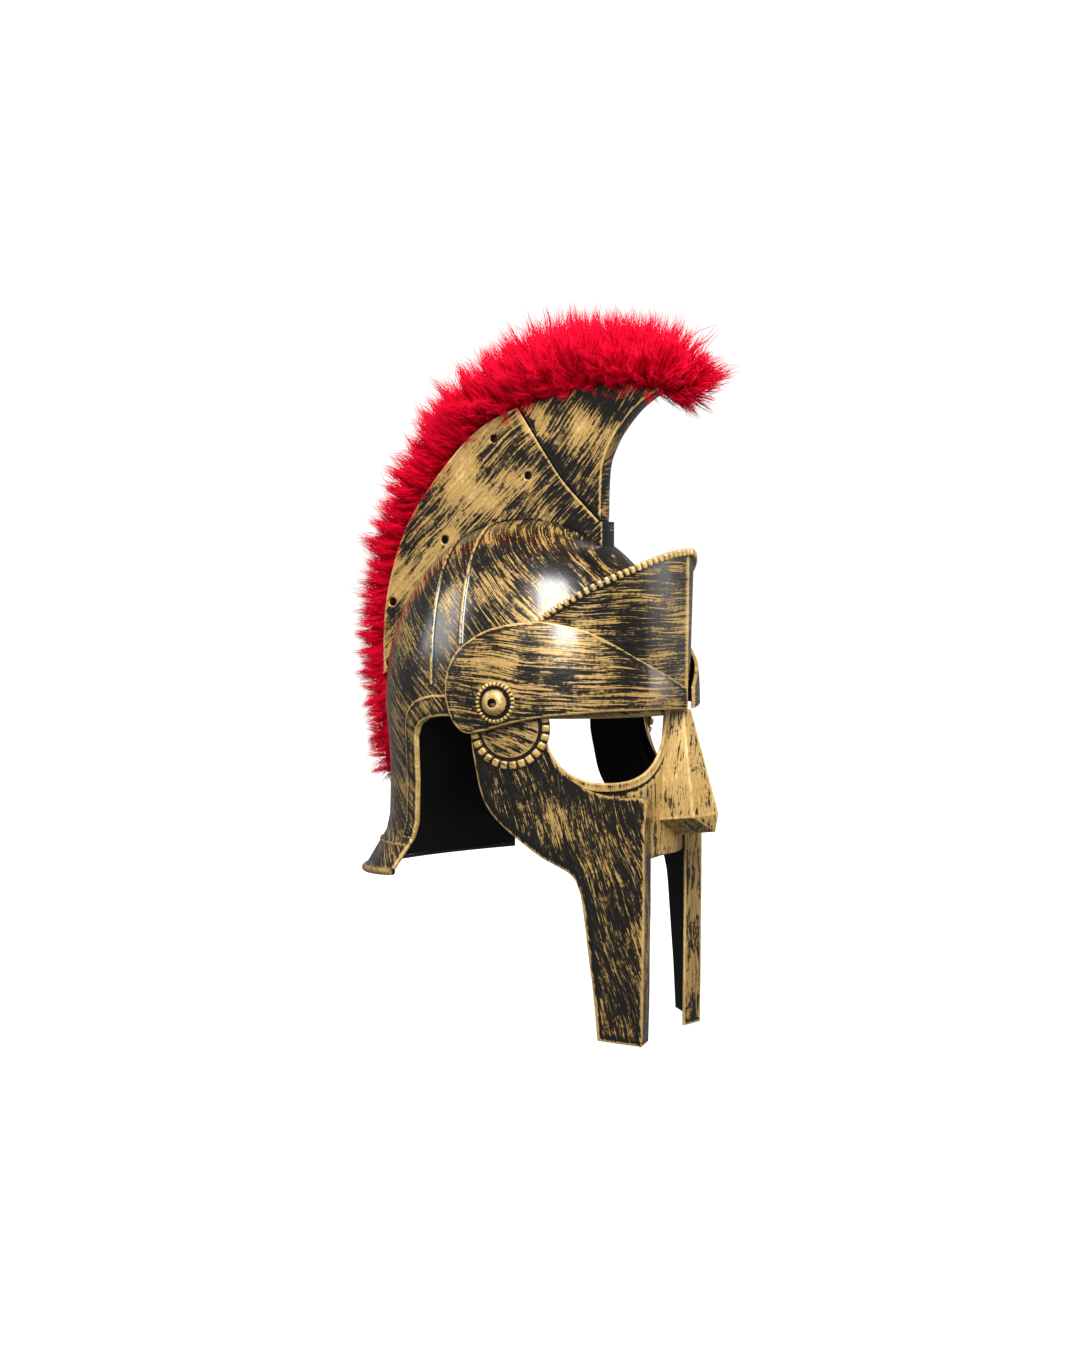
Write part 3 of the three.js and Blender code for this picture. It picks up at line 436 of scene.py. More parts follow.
def make_piece(name, node, parts, materials, crisp=34):
    """Joins closed parts into one piece that stands for a CAD node and rides with it."""
    points, faces, inside, wear = [], [], [], []
    start = 0
    for part in parts:
        turned = volume(part["points"], part["faces"]) < 0
        for group, flag in zip(part["faces"], part["inside"]):
            ordered = group[:, ::-1] if turned else group
            faces.extend((ordered + start).tolist())
            inside.extend([flag] * len(group))
        points.append(part["points"])
        wear.append(part["wear"])
        start += len(part["points"])
    places = np.concatenate(points) - np.array([0, 0, DROP])
    mesh = bpy.data.meshes.new(name)
    mesh.from_pydata((places * MILLIMETRE).tolist(), [], faces)
    mesh.polygons.foreach_set("material_index", inside)
    store(mesh, "wear", np.concatenate(wear))
    merge_doubles(mesh)
    mesh.shade_smooth()
    mesh.set_sharp_from_angle(angle=math.radians(crisp))
    for material in materials:
        mesh.materials.append(material)
    return add_piece(name, mesh, node)


def store(mesh, name, values):
    """Keeps a number or a vector with each point of a mesh."""
    values = np.asarray(values, np.float32)
    kind, key = ("FLOAT", "value") if values.ndim == 1 else ("FLOAT_VECTOR", "vector")
    mesh.attributes.new(name, kind, "POINT").data.foreach_set(key, values.ravel())


def merge_doubles(mesh):
    """Closes poles and shared loops of a mesh."""
    work = bmesh.new()
    work.from_mesh(mesh)
    bmesh.ops.remove_doubles(work, verts=work.verts, dist=2e-6)
    bmesh.ops.dissolve_degenerate(work, edges=work.edges, dist=1e-7)
    work.to_mesh(mesh)
    work.free()


def add_piece(name, mesh, node):
    """Object for a finished mesh, riding with the helmet and standing for a CAD node."""
    piece = bpy.data.objects.new(name, mesh)
    bpy.context.scene.collection.objects.link(piece)
    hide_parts(node)
    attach(piece, "root")
    return piece


# Materials

class Wire:
    """A node's socket that takes part in arithmetic; each operation adds a Math node"""

    def __init__(self, tree, socket=None):
        self.tree = tree
        self.socket = socket

    def add(self, kind, settings=None, inputs=None, output=0):
        """Adds a node: its settings first, then its sockets' values or links."""
        node = self.tree.nodes.new(kind)
        for key, value in (settings or {}).items():
            setattr(node, key, value)
        for key, value in (inputs or {}).items():
            socket = self.pick(node.inputs, key)
            if isinstance(value, Wire):
                self.tree.links.new(value.socket, socket)
            else:
                socket.default_value = value
        found = self.pick(node.outputs, output) if len(node.outputs) else None
        return Wire(self.tree, found)

    @staticmethod
    def pick(sockets, key):
        if isinstance(key, int):
            return sockets[key]
        return next(s for s in sockets if s.name == key and s.enabled)

    def noise(self, scale, detail, output=0, **inputs):
        """Noise texture, as a number or as a colour."""
        return self.add("ShaderNodeTexNoise", None, {"Scale": scale, "Detail": detail, **inputs}, output)

    def vector(self, operation, *inputs):
        """Vector arithmetic on up to three inputs."""
        return self.add("ShaderNodeVectorMath", {"operation": operation}, dict(enumerate(inputs)))

    def scaled(self, way, by):
        """Vector made longer or shorter."""
        return self.add("ShaderNodeVectorMath", {"operation": "SCALE"}, {"Vector": way, "Scale": by})

    def stored(self, kind, name):
        """Value that a mesh's points keep under a name."""
        return self.add("GeometryNodeInputNamedAttribute", {"data_type": kind}, {"Name": name}, "Attribute")

    def random(self, kind, low, high, seed):
        """Random value of each point."""
        return self.add(
            "FunctionNodeRandomValue", {"data_type": kind}, {"Min": low, "Max": high, "Seed": seed}, "Value")

    def math(self, operation, first, second):
        return self.add("ShaderNodeMath", {"operation": operation}, {0: first, 1: second})

    def __add__(self, other):
        return self.math("ADD", self, other)

    def __sub__(self, other):
        return self.math("SUBTRACT", self, other)

    def __rsub__(self, other):
        return self.math("SUBTRACT", other, self)

    def __mul__(self, other):
        return self.math("MULTIPLY", self, other)

    def fade(self, low, high):
        """0 under the low value and 1 over the high one, smooth between."""
        return self.add(
            "ShaderNodeMapRange", {"interpolation_type": "SMOOTHSTEP"},
            {"Value": self, "From Min": low, "From Max": high})

    def colours(self, first, second):
        """Colour that goes from the first to the second as this value goes from 0 to 1."""
        rest = {"A": first if isinstance(first, Wire) else (*first, 1),
                "B": second if isinstance(second, Wire) else (*second, 1)}
        return self.add("ShaderNodeMix", {"data_type": "RGBA"}, {"Factor": self, **rest}, output="Result")


def new_material(name):
    """Empty material with its output, and a wire to build on."""
    material = bpy.data.materials.new(name)
    material.use_nodes = True
    material.node_tree.nodes.clear()
    return material, Wire(material.node_tree)


def finish_material(wire, inputs):
    """Closes a material with one surface shader."""
    surface = wire.add("ShaderNodeBsdfPrincipled", None, inputs)
    wire.add("ShaderNodeOutputMaterial", None, {"Surface": surface})


def brushed_gold(name, tilt, cover, finish, stretch=1.0, blotch=1.0, across=0.0, width=1.0):
    """Black gloss plastic dry-brushed with gold: strokes in one direction, worn edges, black hollows, and
    painted shade where the wear values run low.
    """
    material, wire = new_material(name)
    place = wire.add("ShaderNodeTexCoord", output="Object")
    sway = wire.noise(22.0, 1.0, "Color", Vector=place)
    bent = wire.vector("MULTIPLY_ADD", sway, (0.007, 0.007, 0.007), place)
    long, fine = finish.stroke_length * stretch, finish.stroke_width * width
    grain = wire.add("ShaderNodeMapping", {"vector_type": "TEXTURE"}, {
        "Vector": bent, "Rotation": (math.radians(tilt), 0, 0), "Scale": (across * fine or long, long, fine)})
    fine_strokes = wire.noise(1.0, 3.0, Vector=grain, Roughness=0.6)
    broad_strokes = wire.noise(0.33, 2.0, Vector=grain)
    patches = wire.noise(30.0, 2.0, Vector=place)
    specks = wire.noise(420.0, 2.0, Vector=bent)
    # These per-point values add gold along worn edges and take it away in hollows; some of the dark values
    # are painted shade: beside the crest's foot, under the brow beads, and in lines by rims and seams.
    wear = wire.add("ShaderNodeAttribute", {"attribute_name": "wear"}, output="Fac")
    laid = (fine_strokes - 0.5) * 1.7 + (broad_strokes - 0.5) * 1.1 + (patches - 0.5) * blotch + cover
    laid = laid + (specks - 0.5) * 0.5 + wear * 0.55
    film = laid.fade(-0.25, 0.0)
    gold = laid.fade(-0.04, 0.1)
    thick = (laid + (specks - 0.5) * 0.6).fade(0.25, 1.0)
    under = film.colours(finish.black, finish.thin_gold)
    colour = gold.colours(under, thick.colours(finish.gold, finish.pale_gold))
    rough = gold * 0.2 + (fine_strokes - 0.5) * 0.14 + 0.24
    height = gold * 0.6 + fine_strokes * 0.6
    bump = wire.add("ShaderNodeBump", None, {"Strength": 0.32, "Distance": 0.00035, "Height": height})
    finish_material(wire, {
        "Base Color": colour, "Metallic": gold * 0.3, "Roughness": rough, "Normal": bump,
        "Coat Weight": 0.5, "Coat Roughness": 0.16,
    })
    return material


def moulded_black(name, finish):
    """Bare black plastic of the inside: a fine moulding texture and faint flow marks."""
    material, wire = new_material(name)
    place = wire.add("ShaderNodeTexCoord", output="Object")
    flow = wire.noise(18.0, 3.0, Vector=place)
    grain = wire.noise(900.0, 1.0, Vector=place)
    tint = tuple(1.6 * c for c in finish.black)
    bump = wire.add("ShaderNodeBump", None, {"Strength": 0.2, "Distance": 0.0002, "Height": grain + flow})
    finish_material(wire, {
        "Base Color": flow.fade(0.3, 0.7).colours(finish.black, tint), "Roughness": grain * 0.2 + 0.5,
        "Normal": bump, "Specular IOR Level": 0.25,
    })
    return material


def dyed_feather(name, finish):
    """Dyed down: crimson along its length and lighter at the thin tip; darker at the root as painted shade
    deep in the plume.
    """
    material, wire = new_material(name)
    tip = wire.add("ShaderNodeAttribute", {"attribute_name": "tip"}, output="Fac")
    place = wire.add("ShaderNodeTexCoord", output="Object")
    dye = wire.noise(55.0, 2.0, Vector=place)
    # Painted shade: the down darkens towards its roots.
    body = (tip + (dye - 0.5) * 0.5).fade(0.05, 0.55).colours(finish.feather_root, finish.feather)
    colour = (tip + (dye - 0.5) * 0.4).fade(0.6, 1.05).colours(body, finish.feather_tip)
    finish_material(wire, {
        "Base Color": colour, "Roughness": 0.8 - dye * 0.2, "Specular IOR Level": 0.1,
    })
    return material


def pale_floor(name, stage):
    """Matt pale floor with the faintest mottling."""
    material, wire = new_material(name)
    place = wire.add("ShaderNodeTexCoord", output="Object")
    mottle = wire.noise(3.0, 3.0, Vector=place)
    shade = tuple(0.985 * c for c in stage.floor)
    finish_material(wire, {
        "Base Color": mottle.colours(shade, stage.floor), "Roughness": 0.8, "Emission Color": (1, 1, 1, 1),
        "Emission Strength": 0.9,
    })
    return material


# Hard pieces

def dome_and_neck(sizes):
    """Dome all the way round, with the neck guard carrying on below at the back."""
    near = np.array([0, 0.12, 0.4, 0.8, 1.3, 2.0])
    back = np.concatenate([102 + near, np.linspace(104.6, 255.4, 90), 258 - near[::-1]])
    turns = np.concatenate([np.linspace(-100.5, 100.5, 108), back])
    columns = len(turns)
    rows = []
    for climb in np.concatenate([[90], np.linspace(88.5, 0, 62)]):
        rows.append(dome_point(turns, np.full(columns, climb), 0, sizes))
    for z in (-3.0, -5.0, -5.9, -6.5, -6.85, RIM_Z):
        rows.append(wall_point(turns, np.full(columns, z), 0, sizes))
    first_neck = len(rows) - 1
    from_back = turns - 180
    levels = np.concatenate([np.linspace(-7.6, -120, 62), [-122, -123.4, -124.1, NECK[-1, 0]]])
    for z in levels:
        out = np.interp(-z, -NECK[:, 0], NECK[:, 1])
        edge = np.interp(-z, -NECK[:, 0], NECK[:, 2])
        swing = from_back * (180 - edge) / 78
        rows.append(wall_point(180 + swing, neck_height(z, swing), out, sizes))
    faces = grid_faces(len(rows), columns, closed=True)
    below = faces.min(axis=1) >= first_neck * columns
    at_back = np.all(np.abs(from_back[faces % columns]) <= 78.0001, axis=1)
    points = np.concatenate(rows)
    used = faces[~below | at_back]
    points, used = only_used(points, used)
    part = shell(points, used, WALL, worn=2.6)
    # Painted shade: the dome goes black in a strip beside the crest's foot.
    beside = np.abs(points[:, 0]) - sizes.crest_half
    under_crest = (-points[:, 1] < 60) & (points[:, 2] > 10)
    part["wear"][:len(points)] -= 1.7 * under_crest * np.clip(1.8 - beside / 2.0, 0, 1)
    return part


def only_used(points, faces):
    """Drops points that no face uses."""
    keep, index = np.unique(faces, return_inverse=True)
    return points[keep], index.reshape(faces.shape)


def ear_border(side, sizes):
    """Raised border round the ear cut-out."""
    table = catmull(BORDER, np.linspace(0, 1, 90))
    shares = steps_between(13, 1.5)
    turn = table[:, [0]] * (1 - shares) + table[:, [2]] * shares
    z = table[:, [1]] * (1 - shares) + table[:, [3]] * shares
    points = head_point(side * turn, z, 1.4, sizes).reshape(-1, 3)
    # The last value paints a dark line of shade a little inside the border's edges.
    return shell(points, grid_faces(len(table), len(shares)), 2.6, radius=0.7, worn=1.2, shade_line=0.5)


def dome_rib(rib, side, sizes):
    """Rounded rib lying on the dome from the crest down towards the ear."""
    top_forward, low_forward, top_tilt, low_tilt = rib
    t = np.linspace(0, 1, 70)
    f = top_forward + (low_forward - top_forward) * t
    tilt = np.radians(top_tilt + (low_tilt - top_tilt) * t)
    x = sizes.half_width * np.sqrt(1 - (f / sizes.reach) ** 2) * np.sin(tilt)
    spread = np.hypot(x / sizes.half_width, f / sizes.reach)
    z = sizes.height * (1 - spread**FULLNESS) ** (1 / FULLNESS)
    spot = np.stack([side * x, -f, z], axis=1)
    normal = np.stack([side * x / sizes.half_width**2, -f / sizes.reach**2, z / sizes.height**2], axis=1)
    normal /= np.linalg.norm(normal, axis=1)[:, None]
    along = np.gradient(spot, axis=0)
    across = np.cross(normal, along)
    across /= np.linalg.norm(across, axis=1)[:, None]
    half = np.array([(2.5, -1), (2.5, -0.1), (1.6, 0.25), (1.0, 1.1), (0.4, 1.5)])
    profile = np.concatenate([half * (-1, 1), half[::-1]])
    rings = spot[:, None] + across[:, None] * profile[None, :, [0]] + normal[:, None] * profile[None, :, [1]]
    # Gold along the rib's top; painted shade along its foot on both sides.
    wear = np.array([-0.6, -1.2, -0.9, 0.4, 0.6, 0.6, 0.4, -0.9, -1.2, -0.6])
    return sweep(rings, wear)


def neck_lip(sizes):
    """Rolled lip along the neck guard's lower edge."""
    turn = np.linspace(NECK[-1, 2], 360 - NECK[-1, 2], 70)
    angle = np.radians(np.arange(0, 360, 30))
    height = neck_height(NECK[-1, 0], turn - 180)[:, None] + LIP_RADIUS * np.sin(angle)
    out = NECK[-1, 1] - 1 + LIP_RADIUS * np.cos(angle)
    return sweep(wall_point(turn[:, None], height, out, sizes), np.where(np.cos(angle) > -0.2, 0.75, -3))


def neck_step(sizes):
    """Low step across the neck guard where it begins to flare."""
    turn = np.linspace(119.5, 240.5, 80)
    profile = np.array([(-1.6, -1.2), (-1.6, 0.1), (-0.7, 0.9), (0.4, 0.9), (1.4, 0.2), (1.4, -1.2)])
    height = neck_height(NECK_STEP, turn - 180)[:, None] + profile[:, 0]
    out = np.interp(-NECK_STEP, -NECK[:, 0], NECK[:, 1]) + profile[:, 1]
    return sweep(wall_point(turn[:, None], height, out, sizes), np.array([0, -0.3, 0.8, 0.8, -0.3, 0]))


def offset_loop(loop, depth):
    """Closed outline moved inwards along its own normals."""
    before, after = np.roll(loop, 1, axis=0), np.roll(loop, -1, axis=0)
    along = after - before
    along /= np.maximum(np.linalg.norm(along, axis=1), 1e-9)[:, None]
    area = np.sum(loop[:, 0] * after[:, 1] - after[:, 0] * loop[:, 1])
    inward = np.stack([-along[:, 1], along[:, 0]], axis=1) * np.sign(area)
    return loop + inward * depth


def inside_loop(points, loop):
    """Which points lie inside a closed outline."""
    a, b = loop, np.roll(loop, -1, axis=0)
    x, y = points[:, [0]], points[:, [1]]
    crosses = (a[:, 1] > y) != (b[:, 1] > y)
    with np.errstate(divide="ignore", invalid="ignore"):
        at = (b[:, 0] - a[:, 0]) * (y - a[:, 1]) / (b[:, 1] - a[:, 1]) + a[:, 0]
    return np.sum(crosses & (x < at), axis=1) % 2 == 1


def fill_loops(loops, extra):
    """Triangles between closed outlines, over extra points in the middle."""
    points, edges = [], []
    for loop in loops:
        start = len(points)
        points.extend(Vector(p) for p in loop)
        edges.extend((start + i, start + (i + 1) % len(loop)) for i in range(len(loop)))
    points.extend(Vector(p) for p in extra)
    places, _, faces, *_ = geometry.delaunay_2d_cdt(points, edges, [], 2, 1e-5)
    return np.array([tuple(p) for p in places]), np.array([f for f in faces if len(f) == 3])


def fin_part(outline, holes, half, bevel, hole_radius, shade, rim_wear_and_shade):
    """Flat fin in the middle plane with softened edges and holes right through it."""
    circle = np.radians(np.arange(0, 360, 15))
    ring = np.stack([np.cos(circle), np.sin(circle)], axis=1)
    border = offset_loop(outline, bevel)
    inner = [border, offset_loop(outline, bevel + 1.4)]
    hole_loops = [np.array(hole) + ring * hole_radius for hole in holes]
    lips = [np.array(hole) + ring * (hole_radius + 1.3) for hole in holes]
    low, high = outline.min(axis=0), outline.max(axis=0)
    grid = np.meshgrid(np.arange(low[0], high[0], 4), np.arange(low[1], high[1], 4))
    grid = np.stack(grid, axis=-1).reshape(-1, 2)
    keep = inside_loop(grid, offset_loop(outline, bevel + 3.5))
    for hole in holes:
        keep &= np.linalg.norm(grid - np.array(hole), axis=1) > hole_radius + 3
    extra = np.concatenate([inner[1], *lips, grid[keep]])
    places, faces = fill_loops([border, *hole_loops], extra)
    for hole in holes:
        middle = places[faces].mean(axis=1) - np.array(hole)
        faces = faces[np.linalg.norm(middle, axis=1) > 0.97 * hole_radius]
    points, groups, wear = [], [], []
    start = 0

    def add(flat, x, group, worn):
        nonlocal start
        points.append(np.stack([np.broadcast_to(x, len(flat)), -flat[:, 0], flat[:, 1]], axis=1))
        groups.append(group + start)
        wear.append(np.broadcast_to(worn, len(flat)))
        start += len(flat)

    # For the rear and front crests these values hold gold wear and painted shade.
    worn = shade(places)
    add(places, half, faces, worn)
    add(places, -half, faces[:, ::-1], worn)
    profile = [(bevel, half), (0.35 * bevel, half - 0.2 * bevel), (0, half - bevel)]
    loops = [(offset_loop(outline, d), x) for d, x in profile]
    loops += [(loop, -x) for loop, x in reversed(loops)]
    flat = np.concatenate([loop for loop, _ in loops])
    across = np.repeat([x for _, x in loops], len(outline))
    facing = np.repeat([1, 0.9, 0, 0, 0.9, 1], len(outline))
    # The rim faces take the last value; on the rear crest its dark value is painted shade in the seam.
    rim = facing * np.maximum(shade(flat), -0.2) + (1 - facing) * rim_wear_and_shade
    add(flat, across, grid_faces(len(loops), len(outline), closed=True), rim)
    for loop in hole_loops:
        flat = np.concatenate([loop] * 4)
        depth = np.repeat([half, half - 1.5, 1.5 - half, -half], len(loop))
        dark = np.repeat([0.6, -2, -2, 0.6], len(loop))
        add(flat, depth, grid_faces(4, len(loop), closed=True)[:, ::-1], dark)
    return {"points": np.concatenate(points), "faces": groups, "inside": [0] * len(groups),
            "wear": np.concatenate(wear)}


def dome_profile(f, half, sizes, sink):
    """Height of the dome under the crest's side faces."""
    spread = np.clip(np.hypot(half / sizes.half_width, f / sizes.reach), 0, 1)
    return sizes.height * (1 - spread**FULLNESS) ** (1 / FULLNESS) - sink


def crest_rear_outline(sizes):
    """Rear crest: plume rim, then the dome under it, then the seam up to the rim again."""
    rim = smooth_line(CREST_RIM, 3)
    f = np.linspace(-109.5, 57, 90)
    under = np.stack([f, dome_profile(f, sizes.crest_half, sizes, 0.9)], axis=1)
    seam = smooth_line(CREST_SEAM, 3)
    return np.concatenate([rim, under, seam])


def crest_front_outline():
    """Front crest: seam, plume rim, then the hollow brow edge."""
    seam = smooth_line([(58, 130.2), *[(f + 0.4, z + 0.4) for f, z in CREST_SEAM[1:]]], 3)
    return np.concatenate([seam, smooth_line(CREST_TOP, 3), smooth_line(CREST_BROW, 3)])


def line_distance(points, line):
    """Distance in the middle plane from points to a fine line."""
    flat = np.concatenate([points, np.zeros((len(points), 1))], axis=1)
    return distance_to(flat, np.concatenate([line, np.zeros((len(line), 1))], axis=1))


def rear_wear_and_shade(points, sizes):
    """Gold along the seam and round the holes of the rear crest; black where it meets the dome, which is
    painted shade.
    """
    seam = smooth_line(CREST_SEAM, 0.5)
    rim = smooth_line(CREST_RIM, 0.5)
    lips = np.concatenate([np.array(hole) + 3.0 * np.array([(math.cos(a), math.sin(a)) for a in range(12)])
                           for hole in CREST_HOLES])
    near = np.minimum(line_distance(points, seam), line_distance(points, rim) + 0.6)
    round_holes = 0.8 * np.clip(1.4 - line_distance(points, lips), 0, 1)
    worn = np.maximum(np.clip(1.6 - near / 1.4, 0, 1), round_holes)
    # Painted shade: black in a band along the crest's foot where it meets the dome.
    f = np.linspace(-109.5, 47, 400)
    base = np.stack([f, dome_profile(f, sizes.crest_half, sizes, 0.9)], axis=1)
    return worn - 2 * np.clip(2.6 - line_distance(points, base) / 0.9, 0, 1)


def foot_wear(points):
    """Gold along the front edge of the crest's foot."""
    return np.clip(1.5 - (CREST_FOOT[1] - points[:, 0]) / 1.0, 0.1, 1)


def front_wear_and_shade(points):
    """Black beside the seam of the front crest, which is painted shade, and gold along its brow edge."""
    # Painted shade beside the seam, where the thicker rear crest stands proud.
    seam = np.clip(2.5 - line_distance(points, smooth_line(CREST_SEAM, 0.5)) / 1.2, 0, 1)
    brow = np.clip(1.6 - line_distance(points, smooth_line(CREST_BROW, 0.5)) / 1.3, 0, 1)
    return brow - 1.6 * seam


def brow_columns():
    """Shares round the brow plate, close together by the keel and the two ends."""
    half = steps_between(PLAN["plate_top"].length, 2.2)
    return np.concatenate([-half[::-1], half[1:]])


def brow_edge_point(u, out):
    """Point on the brow plate's beaded edge, by signed share of the way round."""
    top = PLAN["plate_top"]
    share = np.abs(u)
    return top.wrap(share * top.length, read_smooth(BROW_EDGE, share), out, np.where(u < 0, -1, 1))


def band_top_near(points):
    """Upper edge of the band lobe in front of points, found along its plan."""
    plan = PLAN["band"]
    flat = np.stack([np.abs(points[:, 0]), -points[:, 1], np.zeros(len(points))], axis=1)
    tree = kdtree.KDTree(len(plan.path))
    for i, p in enumerate(plan.path):
        tree.insert((*p, 0), i)
    tree.balance()
    length = plan.run[[tree.find(p)[1] for p in flat]]
    table = np.array(BAND)
    return np.where(length < 7, 1.5, read_smooth(table[:, [0, 2]], length))


def brow_plate_part():
    """Keeled sheet from behind the band lobes up to the beaded edge."""
    u = brow_columns()
    foot_plan = PLAN["plate_foot"]
    share = np.abs(u)
    side = np.where(u < 0, -1, 1)
    foot = foot_plan.wrap(share * foot_plan.length, read_smooth(BROW_FOOT, share), 0, side)
    edge = brow_edge_point(u, 0)
    start = np.zeros(len(u))
    for v in np.linspace(0, 0.95, 60):
        spot = foot + (edge - foot) * v
        hidden = spot[:, 2] < band_top_near(spot) - 4
        start = np.where(hidden, v, start)
    climb = steps_between(70, 2.4)
    v = start[None, :] + (1 - start[None, :]) * climb[:, None]
    points = foot + (edge - foot) * v[:, :, None]
    keel = np.clip(1.7 - share * PLAN["plate_top"].length / 1.9, 0, 1)
    # Painted shade: a dark band on the plate just under its beaded edge.
    shade_line = np.clip(1.6 - (1 - v) * np.linalg.norm(edge - foot, axis=1) / 3.2, 0, 1)
    wear = keel[None, :] * np.ones_like(v) - 1.1 * shade_line
    part = shell(points.reshape(-1, 3), grid_faces(len(climb), len(u)), PLATE, worn=0.6)
    part["wear"][:wear.size] = wear.reshape(-1)
    return part


def band_part(side, sizes):
    """Brow band lobe leaning in with the dome."""
    table = np.array(BAND)
    first, last = table[0, 0], table[-1, 0]
    length = first + (last - first) * steps_between(last - first, 2.0)
    low = read_smooth(table[:, [0, 1]], length)
    top = read_smooth(table[:, [0, 2]], length)
    climb = steps_between(52, 2.0)
    z = low[None, :] + (top - low)[None, :] * climb[:, None]
    points = PLAN["band"].wrap(length[None, :] + 0 * z, z, -lean(z, sizes), side)
    faces = grid_faces(len(climb), len(length))
    # The last value paints a dark line of shade a little inside the lobe's edges.
    return shell(points.reshape(-1, 3), faces, BAND_THICK, radius=1.2, worn=1.2, shade_line=0.5)


def boss_part(plan, place, rings, foot, side, tilt, wear):
    """Round boss wrapped on a plate: rings of radius and height from its middle outwards."""
    angle = np.radians(np.arange(0, 360, 5))
    rings = np.asarray(rings, float)
    radius = rings[:, [0]]
    z = place[1] + radius * np.sin(angle)
    length = place[0] + radius * np.cos(angle)
    front = plan.wrap(length, z, rings[:, [1]] - tilt(z), side)
    back = plan.wrap(length[::-1], z[::-1], foot - tilt(z[::-1]), side)
    levels = np.concatenate([front, back])
    count, sides = levels.shape[:2]
    faces = grid_faces(count, sides, closed=True)
    i = np.arange(sides)
    j = (i + 1) % sides
    last = (count - 1) * sides
    closing = np.stack([last + i, i, j, last + j], axis=1)
    worn = np.repeat(np.concatenate([wear, np.zeros(len(wear))]), sides)
    return {"points": levels.reshape(-1, 3), "faces": [faces, closing], "inside": [0, 0], "wear": worn}


def rosette_part(side, sizes):
    """Domed boss with a hole in its middle, inside a sunk ring."""
    rings = [(2.9, 2.6), (3.0, 5.3), (3.3, 5.75), (3.9, 5.9), (5.2, 5.6), (6.8, 4.7), (8.4, 3.2), (9.4, 1.6),
             (9.8, 0.7), (11.2, 0.7), (13.6, 0.9), (14.2, 0.9), (14.4, 0.5)]
    wear = np.array([-2, -1.2, 0.8, 0.6, 0.3, 0.3, 0.2, -1.2, -2, -1.8, -1, 0.5, 0.5])
    return boss_part(PLAN["band"], ROSETTE_PLACE, rings, -0.4, side, lambda z: lean(z, sizes), wear)


def disc_part(side):
    """Flat ear disc with a sunk channel that carries the blocks."""
    rings = [(0.05, 1.6), (6, 1.6), (12, 1.6), (17, 1.55), (19.6, 1.5), (20.4, 1.3), (20.9, 0.5), (22.5, 0.5),
             (27.8, 0.5), (28.3, 0.5), (28.5, 0.3)]
    wear = np.array([0.05, 0.05, 0.05, 0.05, 0.2, 0.7, -1.8, -2.2, -2.2, -1.2, 0.0])
    return boss_part(PLAN["guard"], DISC_PLACE, rings, -0.4, side, lambda z: 0 * z, wear)


def eye_point(angle, margin):
    """Length and height on the mask at an angle round the eye, a margin out from its edge."""
    c, s = np.cos(angle), np.sin(angle)
    power = 2 / EYE_FULLNESS
    length = EYE_PLACE[0] + (EYE_HALF + margin) * np.sign(c) * np.abs(c) ** power
    return np.stack([length, EYE_PLACE[1] + (EYE_DEPTH + margin) * np.sign(s) * np.abs(s) ** power], axis=-1)


def mask_half(side):
    """Half of the face mask, from the middle line round under the eye."""
    first = math.asin((-MASK_TOP / EYE_DEPTH) ** (EYE_FULLNESS / 2))
    angle = np.linspace(math.pi + first, 2 * math.pi - first, 120)
    eye = eye_point(angle, 0)
    low = smooth_line(MASK_LOW, 2.5)[::-1]
    middle = np.stack([np.zeros(42), np.linspace(-102, 2, 42)], axis=1)
    top = np.array([(0, 4), (4, 4), (8, 4), (12.4, 4), (13.2, 0)])
    end = np.array([(110, MASK_TOP), (114, MASK_TOP), (114, -20)])
    outline = np.concatenate([top, eye, end, low, middle])
    steps = [eye_point(angle, m) for m in (0.3, 0.7, 1.2, 2.2, EYE_RIM - 0.9, EYE_RIM - 0.3, EYE_RIM + 0.3,
                                           EYE_RIM + 0.9)]
    grid = np.stack(np.meshgrid(np.arange(2, 113, 2.5), np.arange(-104, 4, 2.5)), axis=-1).reshape(-1, 2)
    grid = grid[line_distance(grid, np.concatenate([eye, *steps])) > 1.3]
    extra = np.concatenate([*steps, grid])
    extra = extra[inside_loop(extra, outline)]
    extra = extra[line_distance(extra, np.concatenate([low, middle, end, top])) > 0.5]
    places, faces = fill_loops([outline], extra)
    gap = line_distance(places, eye_point(np.linspace(math.pi, 2 * math.pi, 900), 0))
    rise = 1.6 * np.clip((EYE_RIM - gap) / 0.8 + 0.5, 0, 1)
    points = PLAN["mask"].wrap(places[:, 0], places[:, 1], rise, side)
    # Gold at the eye rim's edge and in a line further out; the dark line between them, at the foot of the
    # raised rim, is painted shade.
    step = np.clip(1.4 - np.abs(gap - EYE_RIM + 0.6) / 0.9, 0, 1)
    step = step + np.clip(1.2 - np.abs(gap - EYE_RIM - 3.4), 0, 1)
    step = step - 1.9 * np.clip(1.5 - np.abs(gap - EYE_RIM - 1.1) / 0.8, 0, 1)
    part = shell(points, faces, PLATE, worn=1.3)
    worn = step + np.clip(1.5 - gap / 1.3, 0, 1) + 0.2
    part["wear"][:len(worn)] = worn
    return part


